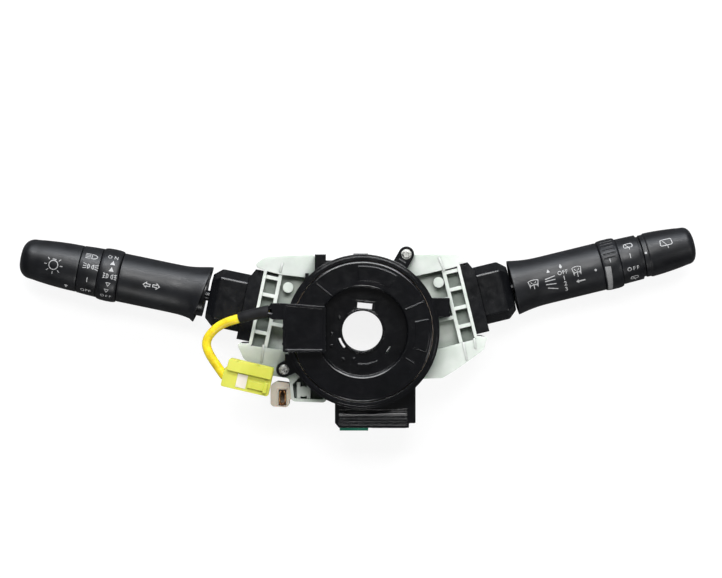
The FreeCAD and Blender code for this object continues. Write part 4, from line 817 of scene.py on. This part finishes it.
def mark_text(words, x, y, size, spread=1.12):
    """Plain capitals or figures, centred and a little bold."""
    bpy.ops.object.text_add(location=(0, 0, 0))
    label = bpy.context.object
    label.data.body = words
    label.data.size = size * MM
    label.data.align_x = "CENTER"
    label.data.align_y = "CENTER"
    label.data.offset = MARK_BOLD * MM
    label.data.space_character = spread
    bpy.ops.object.convert(target="MESH")
    piece = named("mark")
    piece.location = (x * MM, y * MM, 0)
    return settle(piece)


def wrapped(name, marks, stations, turned):
    """Joins flat marks, cuts them finely and lays them round a lever piece.

    The light lever points to the left, so its marks are turned to read upright.
    """
    piece = join(name, marks)
    settle(piece)
    edit(piece)
    for axis, step in ((1, MARK_FACET_ROUND), (0, MARK_FACET_ALONG)):
        places = [vertex.co[axis] / MM for vertex in piece.data.vertices]
        at = min(places) + step / 2
        while at < max(places):
            plane = [0.0, 0.0, 0.0]
            plane[axis] = 1.0
            bpy.ops.mesh.select_all(action="SELECT")
            bpy.ops.mesh.bisect(plane_co=[at * MM * share for share in plane], plane_no=plane)
            at += step
    bpy.ops.mesh.select_all(action="SELECT")
    bpy.ops.mesh.normals_make_consistent(inside=False)
    bpy.ops.object.mode_set(mode="OBJECT")
    modify(piece, "SOLIDIFY", thickness=MARK_THICK * MM, offset=1.0)
    sign = -1.0 if turned else 1.0
    for vertex in piece.data.vertices:
        x = sign * vertex.co.x
        arc = sign * vertex.co.y
        w, h = section_at(stations, x / MM)
        angle = arc / (w * MM)
        lift = vertex.co.z + MARK_LIFT * MM
        vertex.co = (x, (w * MM + lift) * math.sin(angle), (h * MM + lift) * math.cos(angle))
    edit(piece)
    bpy.ops.mesh.select_all(action="SELECT")
    bpy.ops.mesh.remove_doubles(threshold=SAME_PLACE)
    bpy.ops.mesh.normals_make_consistent(inside=False)
    bpy.ops.object.mode_set(mode="OBJECT")
    return piece


def lamp_sign(x, y, radius):
    """A lamp with its cap and seven rays."""
    outer = arc_points(x, y, radius, radius, 0, 345, 23)
    marks = [mark_outline(outer, 0.5), mark_dash(x, y + radius + 0.55, radius * 0.8, 0.5)]
    for angle in (0, 45, 135, 180, 225, 270, 315):
        far = radius * 1.62
        ray_x = x + far * math.cos(math.radians(angle))
        ray_y = y + far * math.sin(math.radians(angle))
        marks.append(mark_dash(ray_x, ray_y, radius * 0.52, 0.45, angle))
    return marks


def beam_sign(x, y, wide, high, facing, rays, ray_long, slope=0.0):
    """A headlamp seen from the side with its rays behind its flat back, facing left or right."""
    curve = arc_points(x, y, facing * wide, high / 2, -90, 90, 12)
    marks = [mark_outline(curve if facing > 0 else curve[::-1], 0.45)]
    for i in range(rays):
        share = 1 - 2 * i / (rays - 1)
        back = x - facing * (0.6 + ray_long / 2)
        level = y + share * (high / 2 - 0.25)
        marks.append(mark_dash(back, level, ray_long, 0.4, -slope * facing * share))
    return marks


def lamp_pair(x, y, gap, high, ray_long, slope, fog):
    """Two lamps face to face with their rays outwards, crossed by a line for fog."""
    marks = []
    for side in (-1, 1):
        back = x + side * gap / 2
        marks += beam_sign(back, y, high * 0.5, high, -side, 3, ray_long, slope)
        if fog:
            marks.append(mark_dash(back + side * (0.6 + ray_long / 2), y, high * 1.1, 0.4, 90 + side * 8))
    return marks


def block_arrow(x, y, facing, size):
    """An outlined block arrow."""
    upper = [(0.1, 0.78), (0.1, 0.34), (-0.75, 0.34)]
    shape = [(1.0, 0.0)] + upper + [(p, -q) for p, q in upper[::-1]]
    corners = [(x + facing * size * p, y + size * q) for p, q in shape]
    return [mark_outline(corners if facing < 0 else corners[::-1], 0.52)]


def screen_sign(x, y, wide, high):
    """A windscreen with a washer jet."""
    top = arc_points(x, y, wide, high, 55, 125, 8)
    low = arc_points(x, y - high * 0.25, wide * 0.52, high * 0.35, 130, 50, 6)
    left = (x - wide * 0.42, y - high * 0.35)
    right = (x + wide * 0.42, y - high * 0.35)
    marks = [mark_outline(top + [left] + low + [right], 0.4)]
    marks.append(mark_dash(x, y - high * 0.1, high * 0.9, 0.4, 90))
    for side in (-1, 1):
        marks.append(mark_dash(x + side * wide * 0.2, y + high * 0.5, high * 0.34, 0.38, 90 - side * 38))
        marks.append(mark_dash(x + side * wide * 0.36, y + high * 0.2, high * 0.26, 0.38, 90 - side * 5))
    return marks


def window_sign(x, y, wide, high):
    """A rear window with its wiper."""
    a = wide / 2
    b = high / 2
    side = [(a - 0.8, -b), (a, 0.8 - b), (a - 0.3, b - 0.7), (a - 1.0, b)]
    corners = [(x + p, y + q) for p, q in side] + [(x - p, y + q) for p, q in side[::-1]]
    return [
        mark_outline(corners, 0.5),
        mark_dash(x - wide * 0.1, y - high * 0.1, high * 0.95, 0.45, 125),
        mark_dash(x + wide * 0.08, y - high * 0.66, high * 0.5, 0.45, 90),
    ]


def triangle(x, y, size, up):
    """Corners of a small triangle."""
    base = y - up * size * 0.42
    return [(x - size / 2, base), (x + size / 2, base), (x, y + up * size * 0.5)]


def light_marks():
    """The print on the light lever, in reading coordinates with x to the right."""
    pointer = [(-145.5, -13.4), (-144.2, -16.6), (-142.9, -13.4)]
    sun = lamp_sign(-154.2, -0.8, 3.2) + [mark_plate(pointer)]
    knob = wrapped("light_knob_marks", sun, LIGHT_KNOB, True)
    rows = beam_sign(-131.0, 10.3, wide=4.0, high=4.0, facing=1, rays=4, ray_long=3.6)
    rows += lamp_pair(-130.2, 3.0, gap=4.3, high=3.3, ray_long=2.4, slope=16, fog=False)
    rows += [mark_text("1", -131.0, -6.2, 4.6), mark_text("OFF", -131.2, -15.0, 3.6, 1.2)]
    rows += [mark_dash(-136.6, -20.6, 2.0, 0.6)]
    band = wrapped("light_band_marks", rows, LIGHT_BAND, True)
    turns = [mark_text("ON", -117.3, 12.8, 3.6, 1.7)]
    turns += [mark_plate(triangle(-116.5, 8.5, 3.2, 1)), mark_plate(triangle(-116.5, 4.0, 3.2, 1))]
    turns += lamp_pair(-116.8, -0.7, gap=4.6, high=3.3, ray_long=1.7, slope=10, fog=True)
    for x, y in ((-116.9, -6.2), (-117.4, -11.0)):
        turns.append(mark_outline(triangle(x, y, 3.3, -1)[::-1], 0.42))
    turns += [mark_text("OFF", -117.5, -15.8, 3.2, 1.5)]
    ring = wrapped("light_ring_marks", turns, LIGHT_RING, True)
    arrows = block_arrow(-92.1, -1.1, facing=-1, size=2.9) + block_arrow(-86.4, -0.9, facing=1, size=2.9)
    stalk = wrapped("light_stalk_marks", arrows, LIGHT_STALK, True)
    finish_piece(place_light(knob), "white_print", "light_knob")
    finish_piece(place_light(band), "white_print", "light_lever")
    finish_piece(place_light(ring), "white_print", "fog_ring")
    finish_piece(place_light(stalk), "white_print", "light_lever")


def wiper_marks():
    """The print on the wiper lever, in reading coordinates with x to the right."""
    rows = [mark_plate(triangle(74.4, 5.4, 2.4, 1)), mark_dot(104.5, -1.3, 0.75)]
    for x, y, turn in ((74.6, 0.9, 8.0), (74.4, -0.9, 0.3), (74.5, -3.4, -6.7), (75.1, -6.5, -17.5)):
        rows.append(mark_dash(x, y, 6.8, 0.62, turn, 0.8))
    drop = [(83.0, 8.4), (82.1, 6.3), (82.4, 5.3), (83.6, 5.3), (83.9, 6.3)]
    rows += [mark_plate(drop), mark_text("OFF", 83.4, 2.2, 3.7)]
    for words, y in (("1", -1.6), ("2", -5.4), ("3", -9.4)):
        rows.append(mark_text(words, 83.6, y, 4.2))
    rows += screen_sign(92.6, -0.4, wide=5.4, high=4.6)
    rows += screen_sign(63.4, -1.8, wide=6.2, high=4.0)
    shaft_low = [(92.4, -7.0), (92.4, -6.2), (96.6, -6.2)]
    shaft_high = [(96.6, -5.4), (92.4, -5.4), (92.4, -4.6)]
    arrow_tip = [(90.6, -5.8)]
    rows += [mark_plate(shaft_low + shaft_high + arrow_tip)]
    stalk = wrapped("wiper_stalk_marks", rows, WIPER_STALK, False)
    wedge = mark_plate([(113.4, -21.4), (114.5, -1.2), (110.7, -0.7), (110.7, -21.4)])
    scale = wrapped("wiper_speed_wedge", [wedge], WIPER_RING, False)
    ring = wrapped("wiper_ring_marks", [mark_text("1", 115.0, 2.4, 3.6)], WIPER_RING, False)
    bands = window_sign(128.8, 9.8, wide=6.4, high=3.4)
    bands += [mark_text("1", 128.6, 2.2, 4.4), mark_text("OFF", 128.7, -6.4, 3.7, 1.4)]
    bands += window_sign(128.8, -13.8, wide=5.6, high=3.0)
    band = wrapped("wiper_band_marks", bands, WIPER_BAND, False)
    window = window_sign(153.3, 5.6, wide=8.4, high=4.6) + [mark_dot(138.9, 1.8, 0.75)]
    knob = wrapped("wiper_knob_marks", window, WIPER_KNOB, False)
    finish_piece(place_wiper(stalk), "white_print", "wiper_lever")
    finish_piece(place_wiper(ring), "white_print", "interval_ring")
    finish_piece(place_wiper(band), "white_print", "wiper_lever")
    finish_piece(place_wiper(knob), "white_print", "wiper_knob")
    finish_piece(place_wiper(scale), "grey_print", "interval_ring")


light_marks()
wiper_marks()


def round_curve(name, radius, roundness):
    """A curve object with a round section and closed ends, without a line as yet."""
    data = bpy.data.curves.new(name, "CURVE")
    data.dimensions = "3D"
    data.bevel_depth = radius * MM
    data.bevel_resolution = roundness
    data.use_fill_caps = True
    piece = bpy.data.objects.new(name, data)
    bpy.context.scene.collection.objects.link(piece)
    return piece


def smooth_curve(name, points, radius):
    """A round cord on a smooth line with these points as its control points."""
    piece = round_curve(name, radius, 7)
    piece.data.resolution_u = 16
    line = piece.data.splines.new("NURBS")
    line.points.add(len(points) - 1)
    for control, (x, y, z) in zip(line.points, points):
        control.co = (x * MM, y * MM, z * MM, 1.0)
    line.order_u = LEAD_CURVE_ORDER
    line.use_endpoint_u = True
    return piece


def route_line(piece):
    """Points along a cord's own centreline."""
    bare = piece.copy()
    bare.data = piece.data.copy()
    bare.data.bevel_depth = 0.0
    bpy.context.scene.collection.objects.link(bare)
    bpy.context.view_layer.update()
    mesh = bpy.data.meshes.new_from_object(bare.evaluated_get(bpy.context.evaluated_depsgraph_get()))
    points = [vertex.co.copy() for vertex in mesh.vertices]
    bpy.data.objects.remove(bare)
    bpy.data.meshes.remove(mesh)
    return points


def lead_sleeve(line):
    """The black sleeve over the first stretch of the lead, a little uneven in width."""
    first = Vector(LEAD_ROUTE[0]) * MM
    stretch = [point for point in line if (point - first).length < SLEEVE_LONG * MM]
    piece = round_curve("lead_sleeve_skin", SLEEVE_R, 9)
    run = piece.data.splines.new("POLY")
    run.points.add(len(stretch) - 1)
    for i, (knot, point) in enumerate(zip(run.points, stretch)):
        knot.co = (*point, 1.0)
        share = i / (len(stretch) - 1)
        wave = SLEEVE_WAVE * math.sin(share * SLEEVE_WAVE_TURN)
        knot.radius = 1.0 - SLEEVE_NARROWING * share + wave
    activate(piece)
    bpy.ops.object.convert(target="MESH")
    piece = named("lead_sleeve_skin")
    return smooth(piece, 45)


def airbag_lead():
    """The yellow tube of the airbag lead with its black sleeve."""
    lead = smooth_curve("airbag_lead_tube", LEAD_ROUTE, TUBE_R)
    sleeve = lead_sleeve(route_line(lead))
    finish_piece(lead, "yellow_tube", "clock_rotor", "lead_tube")
    finish_piece(sleeve, "black_sleeve", "clock_rotor", "lead_sleeve")


airbag_lead()


def round_edges(solid, width):
    """Live modifiers that merge a solid's flat faces and round its edges."""
    weld = solid.modifiers.new("weld", "WELD")
    weld.merge_threshold = SAME_PLACE
    flat = solid.modifiers.new("flat_faces", "DECIMATE")
    flat.decimate_type = "DISSOLVE"
    flat.angle_limit = math.radians(0.6)
    rounds = solid.modifiers.new("rounds", "BEVEL")
    rounds.width = width * MM
    rounds.segments = 3
    rounds.limit_method = "ANGLE"
    rounds.angle_limit = math.radians(30)
    even = solid.modifiers.new("even_shading", "WEIGHTED_NORMAL")
    even.keep_sharp = True


def dress_nodes():
    """Skins for the solids that show as they are, and rounds on the edges of the boxy ones."""
    for name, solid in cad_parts.items():
        slot = solid.data.materials[0].name.split(".")[0]
        dress(solid, slot)
        if name in NODE_EDGES_MM:
            round_edges(solid, NODE_EDGES_MM[name])


dress_nodes()


def shelf_ribs():
    """Low ribs on the closed ends of both wings of the white body."""
    strips = []
    middle_z = BODY_FRONT_Z + RIB_HIGH / 2 - RIB_SUNK
    for (x0, y0), (x1, y1) in SHELF_RIBS:
        bpy.ops.mesh.primitive_cube_add(size=MM, location=(0, 0, 0))
        strip = named("shelf_rib")
        strip.scale = (math.hypot(x1 - x0, y1 - y0), RIB_WIDE, RIB_HIGH)
        strip.rotation_euler = (0, 0, math.atan2(y1 - y0, x1 - x0))
        strip.location = ((x0 + x1) / 2 * MM, (y0 + y1) / 2 * MM, middle_z * MM)
        strips.append(modify(settle(strip), "BEVEL", width=RIB_ROUND * MM, segments=2))
    finish_piece(smooth(join("body_shelf_ribs", strips)), "natural_nylon", "root")


shelf_ribs()


def floor_skin():
    """White to the camera, dark in the part's own reflections, and pale in its shadows."""
    made = bpy.data.materials.new("pale_floor")
    made.use_nodes = True
    nodes = made.node_tree.nodes
    links = made.node_tree.links
    surface = nodes["Principled BSDF"]
    surface.inputs["Base Color"].default_value = (0.86, 0.86, 0.86, 1)
    surface.inputs["Roughness"].default_value = 0.9
    surface.inputs["Specular IOR Level"].default_value = 0.1
    path = nodes.new("ShaderNodeLightPath")
    glow = node(made, "ShaderNodeEmission", Strength=FLOOR_GLOW)
    seen = node(made, "ShaderNodeMath", operation="MULTIPLY")
    seen.inputs[1].default_value = FLOOR_GLOW_SHARE
    wire(made, path, "Is Camera Ray", seen, 0)
    lit = nodes.new("ShaderNodeMixShader")
    wire(made, seen, "Value", lit, "Fac")
    links.new(surface.outputs["BSDF"], lit.inputs[1])
    links.new(glow.outputs["Emission"], lit.inputs[2])
    dim = node(made, "ShaderNodeBsdfDiffuse", Color=(0.12, 0.12, 0.12, 1))
    mirrored = nodes.new("ShaderNodeMixShader")
    wire(made, path, "Is Glossy Ray", mirrored, "Fac")
    links.new(lit.outputs["Shader"], mirrored.inputs[1])
    links.new(dim.outputs["BSDF"], mirrored.inputs[2])
    wire(made, mirrored, "Shader", nodes["Material Output"], "Surface")
    return made


def studio_floor():
    """A pale floor that sweeps up all round, for the main view and the side views."""
    bpy.ops.mesh.primitive_circle_add(vertices=96, radius=FLOOR_R, fill_type="NGON", location=(0, 0, 0))
    piece = named("studio_floor")
    edit(piece, "EDGE")
    bpy.ops.mesh.select_all(action="SELECT")
    bpy.ops.mesh.region_to_loop()
    for rise, grow in FLOOR_SWEEP:
        bpy.ops.mesh.extrude_edges_move()
        bpy.ops.transform.translate(value=(0, 0, rise))
        bpy.ops.transform.resize(value=(grow, grow, 1), center_override=(0, 0, 0))
    bpy.ops.object.mode_set(mode="OBJECT")
    smooth(piece, 60)
    piece.data.materials.append(floor_skin())


def soft_box(name, at, aim, wide, high, watts, colour=(1, 1, 1)):
    """A rectangular studio light that looks at its aim."""
    data = bpy.data.lights.new(name, "AREA")
    data.shape = "RECTANGLE"
    data.size = wide
    data.size_y = high
    data.energy = watts
    data.color = colour
    lamp = bpy.data.objects.new(name, data)
    bpy.context.scene.collection.objects.link(lamp)
    lamp.location = at
    lamp.rotation_euler = (Vector(aim) - Vector(at)).to_track_quat("-Z", "Y").to_euler()


def studio():
    """Floor, soft lights and a plain dim room."""
    studio_floor()
    centre = (0, 0, 0)
    upper = (0, 0.02, 0)
    soft_box("key", (0.0, 1.3, 0.7), upper, wide=1.8, high=0.9, watts=20.0, colour=(0.88, 0.93, 1.0))
    soft_box("sheen", (0.02, 0.34, 0.8), upper, wide=0.5, high=0.22, watts=4.5)
    soft_box("strip", (0.0, 0.95, 0.85), centre, wide=1.3, high=0.09, watts=9.0)
    soft_box("fill", (-0.1, -1.0, 0.75), centre, wide=0.5, high=0.18, watts=5.0)
    soft_box("side", (1.1, -0.3, 0.9), centre, wide=0.4, high=0.4, watts=2.5)
    world = bpy.data.worlds.new("room")
    bpy.context.scene.world = world
    world.use_nodes = True
    air = world.node_tree.nodes["Background"]
    air.inputs["Color"].default_value = (1.0, 1.0, 1.0, 1.0)
    air.inputs["Strength"].default_value = ROOM_GLOW


def camera():
    """The photograph's camera, straight above the part."""
    data = bpy.data.cameras.new("photo_camera")
    data.sensor_width = SENSOR_MM
    data.lens = SENSOR_MM * CAMERA_AWAY_MM / PHOTO_WIDE_MM
    data.clip_start = 0.05
    data.clip_end = 20.0
    eye = bpy.data.objects.new("photo_camera", data)
    bpy.context.scene.collection.objects.link(eye)
    x, y = CAMERA_OVER_MM
    eye.location = (x * MM, y * MM, (CAMERA_PLANE_MM + CAMERA_AWAY_MM) * MM)
    bpy.context.scene.camera = eye


studio()
camera()
deselect()
bpy.context.scene.view_settings.view_transform = "Standard"
